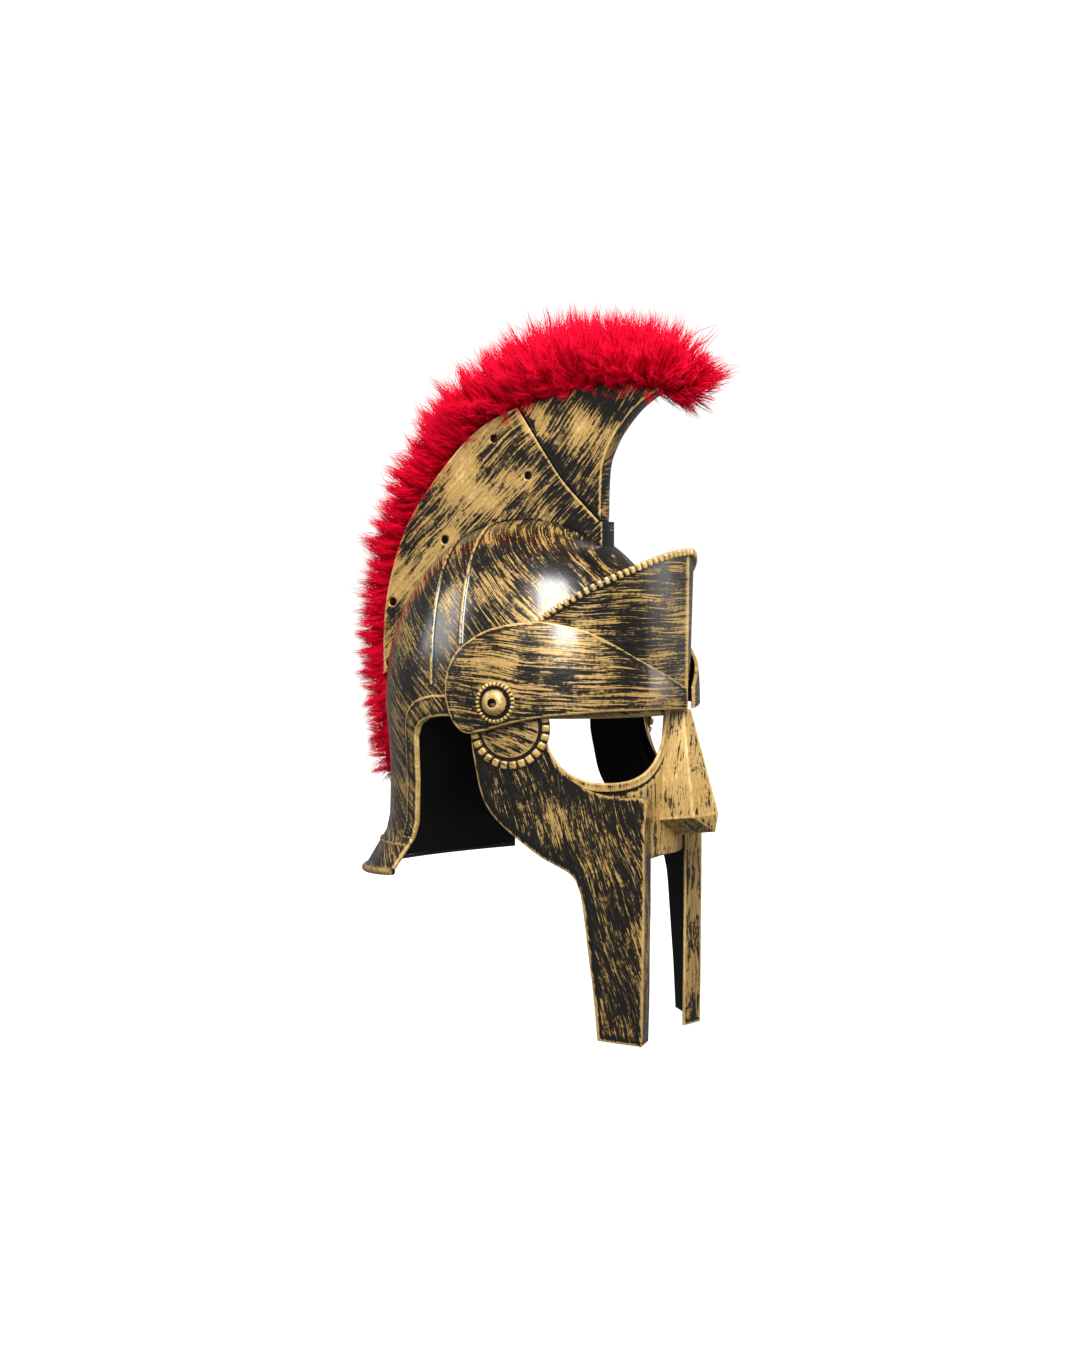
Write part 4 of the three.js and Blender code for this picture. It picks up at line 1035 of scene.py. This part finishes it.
def nose_part():
    """Wedge of the nose: two front strips, two cheeks, a blunt tip and an underside, hollow behind."""
    def corner(row, side):
        return np.array([side * row[0], -row[1], row[2]], float)

    patches = []
    for side in (1, -1):
        r0, r1, r2 = (corner(row, side) for row in NOSE_RIDGE)
        c0, c1 = (corner(row, side) for row in NOSE_CREASE)
        b0, b1 = (corner(row, side) for row in NOSE_ROOT)
        keel = corner(NOSE_KEEL, side)
        patches += [(r0, c0, c1, r1), (c0, b0, b1, c1), (r1, c1, r2, r2), (c1, b1, keel, r2)]
    share = np.array([0, 0.03, 0.08, 0.16, 0.3, 0.5, 0.7, 0.84, 0.92, 0.97, 1])
    s, t = np.meshgrid(share, share)
    points, faces, wear = [], [], []
    for i, (a, b, c, d) in enumerate(patches):
        sheet = ((1 - s)[..., None] * ((1 - t)[..., None] * a + t[..., None] * d)
                 + s[..., None] * ((1 - t)[..., None] * b + t[..., None] * c))
        points.append(sheet.reshape(-1, 3))
        group = grid_faces(len(share), len(share)) + i * share.size**2
        faces.append(group if i < 4 else group[:, ::-1])
        wide = np.linalg.norm(b - a) + np.linalg.norm(c - d)
        tall = np.linalg.norm(d - a) + np.linalg.norm(c - b)
        near = np.minimum(np.minimum(s, 1 - s) * wide, np.minimum(t, 1 - t) * tall) / 2
        wear.append(np.clip(1.5 - near / 0.9, 0.22, 1).reshape(-1))
    points, faces, wear = np.concatenate(points), np.concatenate(faces), np.concatenate(wear)
    _, first, index = np.unique(np.round(points, 4), axis=0, return_index=True, return_inverse=True)
    points, wear, faces = points[first], wear[first], index.reshape(-1)[faces]
    part = shell(points, faces, PLATE, radius=0.2)
    part["wear"][:len(wear)] = wear
    return part


def guard_part(side):
    """Cheek guard: a side plate with a flange round its front edge."""
    lengths = np.concatenate([[0], np.cumsum(np.linalg.norm(np.diff(GUARD[:, 2:4], axis=0), axis=1))])
    rows_at = steps_between(lengths[-1], 2.2) * lengths[-1]
    shares = np.interp(rows_at, lengths, np.arange(len(GUARD)) / (len(GUARD) - 1))
    table = catmull(GUARD, shares)
    table[:, 4] = np.interp(shares * (len(GUARD) - 1), [5, 6], [0, 19.5])
    plan = PLAN["guard"]
    across = steps_between(46, 2.2)
    length = table[:, [0]] * (1 - across) + table[:, [2]] * across
    z = table[:, [1]] * (1 - across) + table[:, [3]] * across
    face = plan.wrap(length, z, 0 * z, side)
    edge = face[:, -1]
    back = plan.wrap(table[:, 2], table[:, 3], -table[:, 5], side)
    turned = edge + np.stack([-side * table[:, 4], table[:, 5], 0 * table[:, 5]], axis=1)
    foot = np.where((table[:, 4] > 0.5)[:, None], turned, back)
    fold = steps_between(19, 2.4)[1:]
    flange = edge[:, None] * (1 - fold[None, :, None]) + foot[:, None] * fold[None, :, None]
    points = np.concatenate([face, flange], axis=1)
    rows, columns = points.shape[:2]
    gap = distance_to(points.reshape(-1, 3), smooth_line(edge, 0.5))
    corner = np.clip(1.6 - gap / 1.3, 0, 1)
    faces = grid_faces(rows, columns)
    # The last value paints a dark line of shade a little inside the guard's edges.
    part = shell(points.reshape(-1, 3), faces, PLATE, shade=corner, worn=1.3, shade_line=0.9)
    whole, rim, inner = part["faces"]
    folded = np.tile(np.arange(columns - 1) >= len(across) - 1, rows - 1)
    part["faces"] = [whole[~folded], whole[folded], rim, inner]
    part["inside"] = [0, 2, 0, 1]
    return part


# Repeated beads

def bead_tree():
    """Rounded blocks set on points, turned by the points' own axes."""
    tree = bpy.data.node_groups.new("raised_beads", "GeometryNodeTree")
    tree.interface.new_socket("Places", in_out="INPUT", socket_type="NodeSocketGeometry")
    size = tree.interface.new_socket("Size", in_out="INPUT", socket_type="NodeSocketVector")
    crease = tree.interface.new_socket("Squareness", in_out="INPUT", socket_type="NodeSocketFloat")
    finish = tree.interface.new_socket("Finish", in_out="INPUT", socket_type="NodeSocketMaterial")
    tree.interface.new_socket("Beads", in_out="OUTPUT", socket_type="NodeSocketGeometry")
    wire = Wire(tree)
    given = tree.nodes.new("NodeGroupInput")
    places, bead_size, squareness, material = (Wire(tree, given.outputs[i]) for i in range(4))
    block = wire.add("GeometryNodeMeshCube", None, {"Size": bead_size})
    block = wire.add("GeometryNodeSubdivisionSurface", None,
                     {"Mesh": block, "Level": 2, "Edge Crease": squareness})
    across = wire.stored("FLOAT_VECTOR", "across")
    out = wire.stored("FLOAT_VECTOR", "out")
    turn = wire.add("FunctionNodeAxesToRotation", {"primary_axis": "Z", "secondary_axis": "X"},
                    {"Primary Axis": out, "Secondary Axis": across})
    beads = wire.add("GeometryNodeInstanceOnPoints", None,
                     {"Points": places, "Instance": block, "Rotation": turn})
    beads = wire.add("GeometryNodeRealizeInstances", None, {"Geometry": beads})
    beads = wire.add("GeometryNodeSetShadeSmooth", None, {"Geometry": beads})
    beads = wire.add("GeometryNodeSetMaterial", None, {"Geometry": beads, "Material": material})
    wire.add("NodeGroupOutput", None, {"Beads": beads})
    return tree, (size.identifier, crease.identifier, finish.identifier)


def set_beads(name, node, places, across, out, size, squareness, material):
    """Beads at places with their own axes, as one plain mesh."""
    mesh = bpy.data.meshes.new(name + "_places")
    mesh.from_pydata(((places - np.array([0, 0, DROP])) * MILLIMETRE).tolist(), [], [])
    store(mesh, "across", across)
    store(mesh, "out", out)
    holder = bpy.data.objects.new(name + "_places", mesh)
    bpy.context.scene.collection.objects.link(holder)
    tree, (size_key, crease_key, finish_key) = bead_tree()
    modifier = holder.modifiers.new("beads", "NODES")
    modifier.node_group = tree
    modifier[size_key] = tuple(s * MILLIMETRE for s in size)
    modifier[crease_key] = squareness
    modifier[finish_key] = material
    result = plain_mesh(holder, name)
    store(result, "wear", np.full(len(result.vertices), BEAD_WEAR))
    return add_piece(name, result, node)


def plain_mesh(holder, name):
    """Evaluated result of a holder's modifiers as a plain mesh; the holder goes away."""
    graph = bpy.context.evaluated_depsgraph_get()
    result = bpy.data.meshes.new_from_object(holder.evaluated_get(graph))
    result.name = name
    holder.modifiers.clear()
    old = holder.data
    bpy.data.objects.remove(holder)
    bpy.data.meshes.remove(old)
    return result


def unit(rows):
    return rows / np.maximum(np.linalg.norm(rows, axis=1), 1e-9)[:, None]


def round_places(plan, place, radius, count, height, side, tilt):
    """Bead places on a circle wrapped on a plate, with their directions along and out."""
    angle = 2 * np.pi * np.arange(count) / count

    def at(a, r, h):
        z = place[1] + r * np.sin(a)
        return plan.wrap(place[0] + r * np.cos(a), z, h - tilt(z), side)

    spot = at(angle, radius, height)
    along = unit(at(angle + 0.02, radius, height) - at(angle - 0.02, radius, height))
    away = unit(at(angle, radius + 0.5, height) - at(angle, radius - 0.5, height))
    out = unit(np.cross(along, away))
    facing = np.sum(out * np.array([side, 0, 0]), axis=1) < 0
    return spot, along, np.where(facing[:, None], -out, out)


# Plume

def plume_frame(shares):
    """Middle line of the plume with its half sizes and outward direction."""
    rows = catmull(PLUME, shares)
    step = catmull(PLUME, np.clip(shares + 0.004, 0, 1)) - catmull(PLUME, np.clip(shares - 0.004, 0, 1))
    along = unit(np.stack([0 * shares, -step[:, 0], step[:, 1]], axis=1))
    away = unit(np.cross(np.array([1.0, 0, 0]), along))
    centre = np.stack([0 * shares, -rows[:, 0], rows[:, 1]], axis=1)
    return centre, along, away, rows[:, 2], rows[:, 3]


def plume_core(name, first, last, tufts_length):
    """Stretch of the plume's core, which carries each tuft's length."""
    shares = np.linspace(first, last, 40)
    centre, along, away, half, width = plume_frame(shares)
    tip, tail = np.clip(1 - shares / 0.14, 0, 1), np.clip(1 - (1 - shares) / 0.07, 0, 1)
    combed = unit(away - along * (0.6 * tip)[:, None] + along * (0.9 * tail)[:, None])
    angle = np.radians(np.arange(0, 360, 12))
    centre = centre - away * (CORE_SINK * half)[:, None]
    rings = (centre[:, None] + away[:, None] * (CORE_SHARE * half[:, None] * np.cos(angle))[..., None]
             + np.array([1.0, 0, 0]) * (CORE_SHARE * width[:, None] * np.sin(angle))[..., None])
    part = sweep(rings, 0.0)
    if volume(part["points"], part["faces"]) < 0:
        part["faces"] = [group[:, ::-1] for group in part["faces"]]
    mesh = bpy.data.meshes.new(name)
    faces = [face for group in part["faces"] for face in group.tolist()]
    mesh.from_pydata(((part["points"] - np.array([0, 0, DROP])) * MILLIMETRE).tolist(), [], faces)
    under = np.clip(1 + 0.7 * np.cos(angle), 0.42, 1)
    under = under + (1 - under) * tip[:, None]
    flare = 1 + tip[:, None] * (0.4 + 0.35 * np.cos(angle)) + 0.7 * tail[:, None]
    reach = (half[:, None] * flare * under).ravel() * tufts_length * MILLIMETRE
    store(mesh, "reach", np.concatenate([reach, [reach[0], reach[-1]]]))
    store(mesh, "comb", np.concatenate([np.repeat(combed, len(angle), axis=0), combed[:1], combed[-1:]]))
    store(mesh, "tip", np.zeros(len(mesh.vertices)))
    mesh.shade_smooth()
    return mesh


def tuft_mesh(strands):
    """Tuft of unit height: curved tapering strands that start apart and draw together at the tip."""
    rng = np.random.default_rng(11)
    points, faces, tips = [], [], []
    for k in range(strands):
        angle = 2.4 * k
        spread = 0.11 * math.sqrt((k + 0.5) / strands)
        start = np.array([spread * math.cos(angle), spread * math.sin(angle), -0.15])
        end = np.array([0.03 * rng.normal(), 0.03 * rng.normal(), 0.6 + 0.4 * rng.random()])
        bow = np.array([0.08 * rng.normal(), 0.08 * rng.normal(), 0])
        base = len(points)
        for t, thick in ((0, 0.010), (0.45, 0.008), (0.8, 0.0045)):
            middle = start + (end - start) * t + bow * 4 * t * (1 - t)
            for turn in (0, 2.094, 4.189):
                around = np.array([math.cos(turn + angle), math.sin(turn + angle), 0])
                points.append(middle + thick * around)
                tips.append(t)
        points.append(end)
        tips.append(1.0)
        faces.append((base + 2, base + 1, base))
        for level in (0, 3):
            for i in range(3):
                j = (i + 1) % 3
                low = base + level
                faces.append((low + i, low + j, low + 3 + j, low + 3 + i))
        faces.extend((base + 6 + i, base + 6 + (i + 1) % 3, base + 9) for i in range(3))
    mesh = bpy.data.meshes.new("tuft")
    mesh.from_pydata([tuple(p) for p in points], [], faces)
    store(mesh, "tip", tips)
    mesh.shade_smooth()
    return mesh


def tuft_tree():
    """Tufts scattered over a core, leaning unevenly and swaying towards their tips."""
    tree = bpy.data.node_groups.new("plume_tufts", "GeometryNodeTree")
    names = (("Core", "Geometry"), ("Tuft", "Object"), ("Density", "Float"), ("Lean", "Float"),
             ("Seed", "Int"), ("Feather", "Material"))
    keys = [tree.interface.new_socket(name, in_out="INPUT", socket_type="NodeSocket" + kind).identifier
            for name, kind in names]
    tree.interface.new_socket("Plume", in_out="OUTPUT", socket_type="NodeSocketGeometry")
    wire = Wire(tree)
    given = tree.nodes.new("NodeGroupInput")
    core, tuft, density, lean_by, seed, feather = (Wire(tree, given.outputs[i]) for i in range(6))
    spread = wire.add("GeometryNodeDistributePointsOnFaces", None,
                      {"Mesh": core, "Density": density, "Seed": seed}, output="Points")
    normal = Wire(tree, spread.socket.node.outputs["Normal"])
    kept = wire.add("GeometryNodeStoreNamedAttribute", {"data_type": "FLOAT_VECTOR", "domain": "POINT"},
                    {"Geometry": spread, "Name": "up", "Value": normal})
    up = wire.stored("FLOAT_VECTOR", "up")
    place = wire.add("GeometryNodeInputPosition")
    lock = wire.add("ShaderNodeTexVoronoi", None, {"Vector": place, "Scale": 165.0}, output="Position")
    mood = Wire(tree, lock.socket.node.outputs["Color"])
    pull = wire.vector("SUBTRACT", lock, place)
    drift = wire.vector("SUBTRACT", mood, (0.5, 0.5, 0.42))
    stray = wire.random("FLOAT_VECTOR", (-0.24, -0.24, -0.24), (0.24, 0.24, 0.24), 3)
    way = wire.vector("MULTIPLY_ADD", drift, (0.95, 0.95, 0.95), stray)
    way = wire.vector("ADD", wire.scaled(way, lean_by), up)
    way = wire.vector("MULTIPLY_ADD", pull, (45, 45, 45), way)
    way = wire.vector("MULTIPLY_ADD", wire.stored("FLOAT_VECTOR", "comb"), (0.85, 0.85, 0.85), way)
    turn = wire.add("FunctionNodeAlignRotationToVector", {"axis": "Z"}, {"Vector": way})
    spin = wire.random("FLOAT", 0.0, 6.283, 5)
    spin = wire.add("FunctionNodeAxisAngleToRotation", None, {"Axis": (0, 0, 1), "Angle": spin})
    turn = wire.add("FunctionNodeRotateRotation", {"rotation_space": "LOCAL"},
                    {"Rotation": turn, "Rotate By": spin})
    reach = wire.stored("FLOAT", "reach")
    swell = wire.add("ShaderNodeSeparateXYZ", None, {"Vector": mood})
    vary = (wire.random("FLOAT", 0.0, 1.0, 9) * 0.34 + 0.76) * (swell * 0.4 + 0.76)
    tuft_shape = wire.add("GeometryNodeObjectInfo", None, {"Object": tuft}, output="Geometry")
    grown = wire.add("GeometryNodeInstanceOnPoints", None,
                     {"Points": kept, "Instance": tuft_shape, "Rotation": turn, "Scale": reach * vary})
    grown = wire.add("GeometryNodeRealizeInstances", None, {"Geometry": grown})
    tip = wire.stored("FLOAT", "tip")
    sway = wire.vector("SUBTRACT", wire.noise(130.0, 1.0, "Color"), (0.5, 0.5, 0.5))
    sway = wire.scaled(sway, tip * tip * 0.012)
    grown = wire.add("GeometryNodeSetPosition", None, {"Geometry": grown, "Offset": sway})
    whole = wire.add("GeometryNodeJoinGeometry", None, {"Geometry": grown})
    tree.links.new(core.socket, whole.socket.node.inputs[0])
    whole = wire.add("GeometryNodeSetMaterial", None, {"Geometry": whole, "Material": feather})
    wire.add("NodeGroupOutput", None, {"Plume": whole})
    return tree, keys


# Operators

class HELMET_OT_dome(bpy.types.Operator):
    """Dome and neck guard with ribs, ear borders, step and lip"""

    bl_idname = "helmet.dome"
    bl_label = "Dome and neck guard"

    def execute(self, context):
        sizes, finish = context.scene.helmet_sizes, context.scene.helmet_finish
        parts = [dome_and_neck(sizes), neck_lip(sizes), neck_step(sizes)]
        for side in (1, -1):
            parts.append(ear_border(side, sizes))
            parts += [dome_rib(rib, side, sizes) for rib in RIBS]
        materials = [brushed_gold("dome_gold", 42, -0.14, finish, stretch=0.9, width=0.85),
                     moulded_black("inside_black", finish)]
        make_piece("dome", "skull_shell", parts, materials)
        return {"FINISHED"}


class HELMET_OT_crest(bpy.types.Operator):
    """Crest fin in two pieces, with its foot and lacing holes"""

    bl_idname = "helmet.crest"
    bl_label = "Crest"

    def execute(self, context):
        sizes, finish = context.scene.helmet_sizes, context.scene.helmet_finish
        gold = brushed_gold("crest_gold", -44, 0.02, finish, stretch=0.8, blotch=1.9, width=0.9)
        # The rear crest's rim faces go dark (-1.6): painted shade in the seam between the two crest pieces,
        # where they show.
        rear = fin_part(crest_rear_outline(sizes), CREST_HOLES, sizes.crest_half, 0.9, 3.0,
                        lambda p: rear_wear_and_shade(p, sizes), -1.6)
        back, front, top = CREST_FOOT
        base = dome_profile(np.array([back, front]), sizes.crest_half, sizes, 1.0)
        corners = [(back, base[0]), (front, base[1]), (front, top), (back, top)]
        foot_outline = np.concatenate(
            [np.linspace(corners[i], corners[(i + 1) % 4], 8)[:-1] for i in range(4)])
        foot = fin_part(foot_outline, [], sizes.crest_half + 1, 0.7, 1, foot_wear, -0.4)
        make_piece("crest_back_fin", "crest_rear", [rear, foot], [gold])
        fore = fin_part(crest_front_outline(), [], sizes.crest_front_half, 0.9, 1, front_wear_and_shade, -0.12)
        dark = brushed_gold("crest_front_gold", -54, -0.06, finish, stretch=0.8, blotch=1.9, width=0.9)
        make_piece("crest_fore_fin", "crest_front", [fore], [dark])
        return {"FINISHED"}


class HELMET_OT_brow_plate(bpy.types.Operator):
    """Keeled brow plate with beads along its edge"""

    bl_idname = "helmet.brow_plate"
    bl_label = "Brow plate"

    def execute(self, context):
        sizes, finish = context.scene.helmet_sizes, context.scene.helmet_finish
        gold = brushed_gold("brow_gold", 0, -0.09, finish, stretch=1.3, width=0.9)
        black = moulded_black("brow_inside", finish)
        make_piece("brow_sheet", "brow_plate", [brow_plate_part()], [gold, black],
                   crisp=24)
        count = sizes.brow_beads
        u = (np.arange(2 * count) + 0.5) / count - 1
        spot = brow_edge_point(u, 0.2) - np.array([0, 0, 0.9])
        along = unit(brow_edge_point(u + 0.004, 0.2) - brow_edge_point(u - 0.004, 0.2))
        out = unit(brow_edge_point(u, 1.0) - brow_edge_point(u, 0.0))
        bright = brushed_gold("bead_gold", 0, 0.2, finish, stretch=0.2)
        set_beads("brow_beads", "brow_plate", spot, along, out, (2.9, 4.9, 4.5), 0.82, bright)
        return {"FINISHED"}


class HELMET_OT_bands(bpy.types.Operator):
    """Brow band lobes with their beaded rosettes"""

    bl_idname = "helmet.bands"
    bl_label = "Brow bands and rosettes"

    def execute(self, context):
        sizes, finish = context.scene.helmet_sizes, context.scene.helmet_finish
        gold = brushed_gold("band_gold", 4, -0.06, finish, stretch=1.2, width=0.9)
        boss = brushed_gold("boss_gold", 20, 0.12, finish, stretch=0.4)
        black = moulded_black("band_inside", finish)
        for word, side in (("right", -1), ("left", 1)):
            make_piece("band_lobe_" + word, "brow_band_" + word,
                       [band_part(side, sizes)], [gold, black])
            make_piece("rosette_boss_" + word, "rosette_" + word,
                       [rosette_part(side, sizes)], [boss])
            spot, along, out = round_places(PLAN["band"], ROSETTE_PLACE, 12.8,
                                            sizes.rosette_beads, 1.2, side, lambda z: lean(z, sizes))
            set_beads("rosette_beads_" + word, "rosette_" + word, spot, along, out,
                      (2.0, 2.5, 2.6), 0.35, boss)
        return {"FINISHED"}


class HELMET_OT_mask(bpy.types.Operator):
    """Face mask with rimmed eyes and a wedge nose"""

    bl_idname = "helmet.mask"
    bl_label = "Face mask"

    def execute(self, context):
        finish = context.scene.helmet_finish
        gold = brushed_gold("mask_gold", 90, 0.02, finish, stretch=0.9, across=1.6)
        black = moulded_black("mask_inside", finish)
        make_piece("mask", "face_mask", [mask_half(1), mask_half(-1), nose_part()],
                   [gold, black], crisp=26)
        return {"FINISHED"}


class HELMET_OT_cheeks(bpy.types.Operator):
    """Hanging cheek guards with their ear discs"""

    bl_idname = "helmet.cheeks"
    bl_label = "Cheek guards and ear discs"

    def execute(self, context):
        sizes, finish = context.scene.helmet_sizes, context.scene.helmet_finish
        gold = brushed_gold("guard_gold", 74, -0.2, finish, stretch=0.55, blotch=0.8, width=0.8)
        plain = brushed_gold("disc_gold", 20, 0.02, finish, stretch=0.6)
        upright = brushed_gold("flange_gold", 90, -0.06, finish, stretch=0.8, across=3.0)
        black = moulded_black("guard_inside", finish)
        for word, side in (("right", -1), ("left", 1)):
            make_piece("cheek_" + word, "cheek_guard_" + word, [guard_part(side)],
                       [gold, black, upright])
            make_piece("disc_" + word, "ear_disc_" + word,
                       [disc_part(side)], [plain])
            spot, along, out = round_places(PLAN["guard"], DISC_PLACE, 25.8, sizes.disc_blocks, 1.2, side,
                                            lambda z: 0 * z)
            set_beads("disc_blocks_" + word, "ear_disc_" + word, spot, along, out,
                      (4.7, 5.4, 3.6), 0.92, plain)
        return {"FINISHED"}


class HELMET_OT_plume(bpy.types.Operator):
    """Feather plume along the crest, from tufts scattered over its core"""

    bl_idname = "helmet.plume"
    bl_label = "Plume"

    def execute(self, context):
        plume = context.scene.helmet_plume
        feather = dyed_feather("dyed_feather", context.scene.helmet_finish)
        template = bpy.data.objects.new("tuft", tuft_mesh(plume.strands))
        tree, (_, tuft_key, density_key, lean_key, seed_key, feather_key) = tuft_tree()
        lengths = np.linspace(0, 1, 7)
        for i in range(6):
            core = plume_core(f"plume_core_{i + 1}", lengths[i], lengths[i + 1], plume.length)
            holder = bpy.data.objects.new(core.name, core)
            context.scene.collection.objects.link(holder)
            modifier = holder.modifiers.new("tufts", "NODES")
            modifier.node_group = tree
            modifier[tuft_key] = template
            modifier[density_key] = plume.tufts
            modifier[lean_key] = plume.lean
            modifier[seed_key] = plume.seed + i
            modifier[feather_key] = feather
            down = plain_mesh(holder, f"plume_down_{i + 1}")
            add_piece(down.name, down, "plume")
        bpy.data.meshes.remove(template.data)
        return {"FINISHED"}


class HELMET_OT_stage(bpy.types.Operator):
    """Pale floor, soft lamps, white surround and the camera"""

    bl_idname = "helmet.stage"
    bl_label = "Stage"

    def execute(self, context):
        scene, stage = context.scene, context.scene.helmet_stage
        low = CAD_BOX[0][2] - 0.002
        mesh = bpy.data.meshes.new("floor")
        mesh.from_pydata([(-9, -9, low), (9, -9, low), (9, 9, low), (-9, 9, low)], [], [(0, 1, 2, 3)])
        mesh.materials.append(pale_floor("pale_floor", stage))
        floor = bpy.data.objects.new("floor", mesh)
        floor.visible_glossy = False
        floor.visible_diffuse = False
        scene.collection.objects.link(floor)
        scene.world = white_surround("white_surround", stage.surround)
        scene.view_settings.view_transform = "Standard"
        soft_lamp(scene, "key", (-1.06, -0.58, 1.0), (0.62, 1.25), stage.key_power)
        soft_lamp(scene, "fill", (-0.9, 1.5, 0.7), (0.9, 0.9), stage.fill_power)
        soft_lamp(scene, "front", (0.5, -1.7, 0.3), (0.7, 0.9), 0.7 * stage.fill_power)
        camera = bpy.data.cameras.new("camera")
        camera.lens = stage.lens
        camera.sensor_fit = "VERTICAL"
        camera.sensor_height = 36
        camera.clip_start = 0.01
        place = bpy.data.objects.new("camera", camera)
        place.location = (-0.883 * 1.66, -0.47 * 1.66, -0.0186)
        target = Vector((0.0027, -0.0051, -0.1106))
        place.rotation_euler = (target - place.location).to_track_quat("-Z", "Y").to_euler()
        scene.collection.objects.link(place)
        scene.camera = place
        return {"FINISHED"}


def white_surround(name, strength):
    """Surround that is white behind the helmet and dimmer in what its gloss mirrors."""
    world = bpy.data.worlds.new(name)
    world.use_nodes = True
    world.node_tree.nodes.clear()
    wire = Wire(world.node_tree)
    seen = wire.add("ShaderNodeLightPath", None, None, output="Is Camera Ray")
    level = seen * (1.02 - strength) + strength
    glow = wire.add("ShaderNodeBackground", None, {"Color": (1, 1, 1, 1), "Strength": level})
    wire.add("ShaderNodeOutputWorld", None, {"Surface": glow})
    return world


def soft_lamp(scene, name, spot, size, power):
    """Soft lamp that looks at the helmet."""
    lamp = bpy.data.lights.new(name, "AREA")
    lamp.shape = "RECTANGLE"
    lamp.size, lamp.size_y = size
    lamp.energy = power
    holder = bpy.data.objects.new(name, lamp)
    holder.location = spot
    holder.rotation_euler = (Vector((0, 0, -0.08)) - Vector(spot)).to_track_quat("-Z", "Y").to_euler()
    scene.collection.objects.link(holder)


OPERATORS = (
    HELMET_OT_stage, HELMET_OT_dome, HELMET_OT_crest, HELMET_OT_brow_plate, HELMET_OT_bands, HELMET_OT_mask,
    HELMET_OT_cheeks, HELMET_OT_plume,
)
GROUPS = {
    "helmet_sizes": HelmetSizes, "helmet_finish": HelmetFinish, "helmet_plume": HelmetPlume,
    "helmet_stage": HelmetStage,
}


class HELMET_PT_panel(bpy.types.Panel):
    """Steps that dress the helmet, and the values they use"""

    bl_idname = "HELMET_PT_panel"
    bl_label = "Gladiator helmet"
    bl_space_type = "VIEW_3D"
    bl_region_type = "UI"
    bl_category = "Helmet"

    def draw(self, context):
        for operator in OPERATORS:
            self.layout.operator(operator.bl_idname)
        for name, group in GROUPS.items():
            box = self.layout.box()
            for key in group.__annotations__:
                box.prop(getattr(context.scene, name), key)


def register():
    for group in GROUPS.values():
        bpy.utils.register_class(group)
    for operator in OPERATORS:
        bpy.utils.register_class(operator)
    bpy.utils.register_class(HELMET_PT_panel)
    for name, group in GROUPS.items():
        setattr(bpy.types.Scene, name, bpy.props.PointerProperty(type=group))


def unregister():
    for name in GROUPS:
        delattr(bpy.types.Scene, name)
    bpy.utils.unregister_class(HELMET_PT_panel)
    for operator in reversed(OPERATORS):
        bpy.utils.unregister_class(operator)
    for group in reversed(GROUPS.values()):
        bpy.utils.unregister_class(group)


def main():
    register()
    bpy.ops.helmet.stage()
    bpy.ops.helmet.dome()
    bpy.ops.helmet.crest()
    bpy.ops.helmet.brow_plate()
    bpy.ops.helmet.bands()
    bpy.ops.helmet.mask()
    bpy.ops.helmet.cheeks()
    bpy.ops.helmet.plume()


if __name__ == "__main__":
    main()
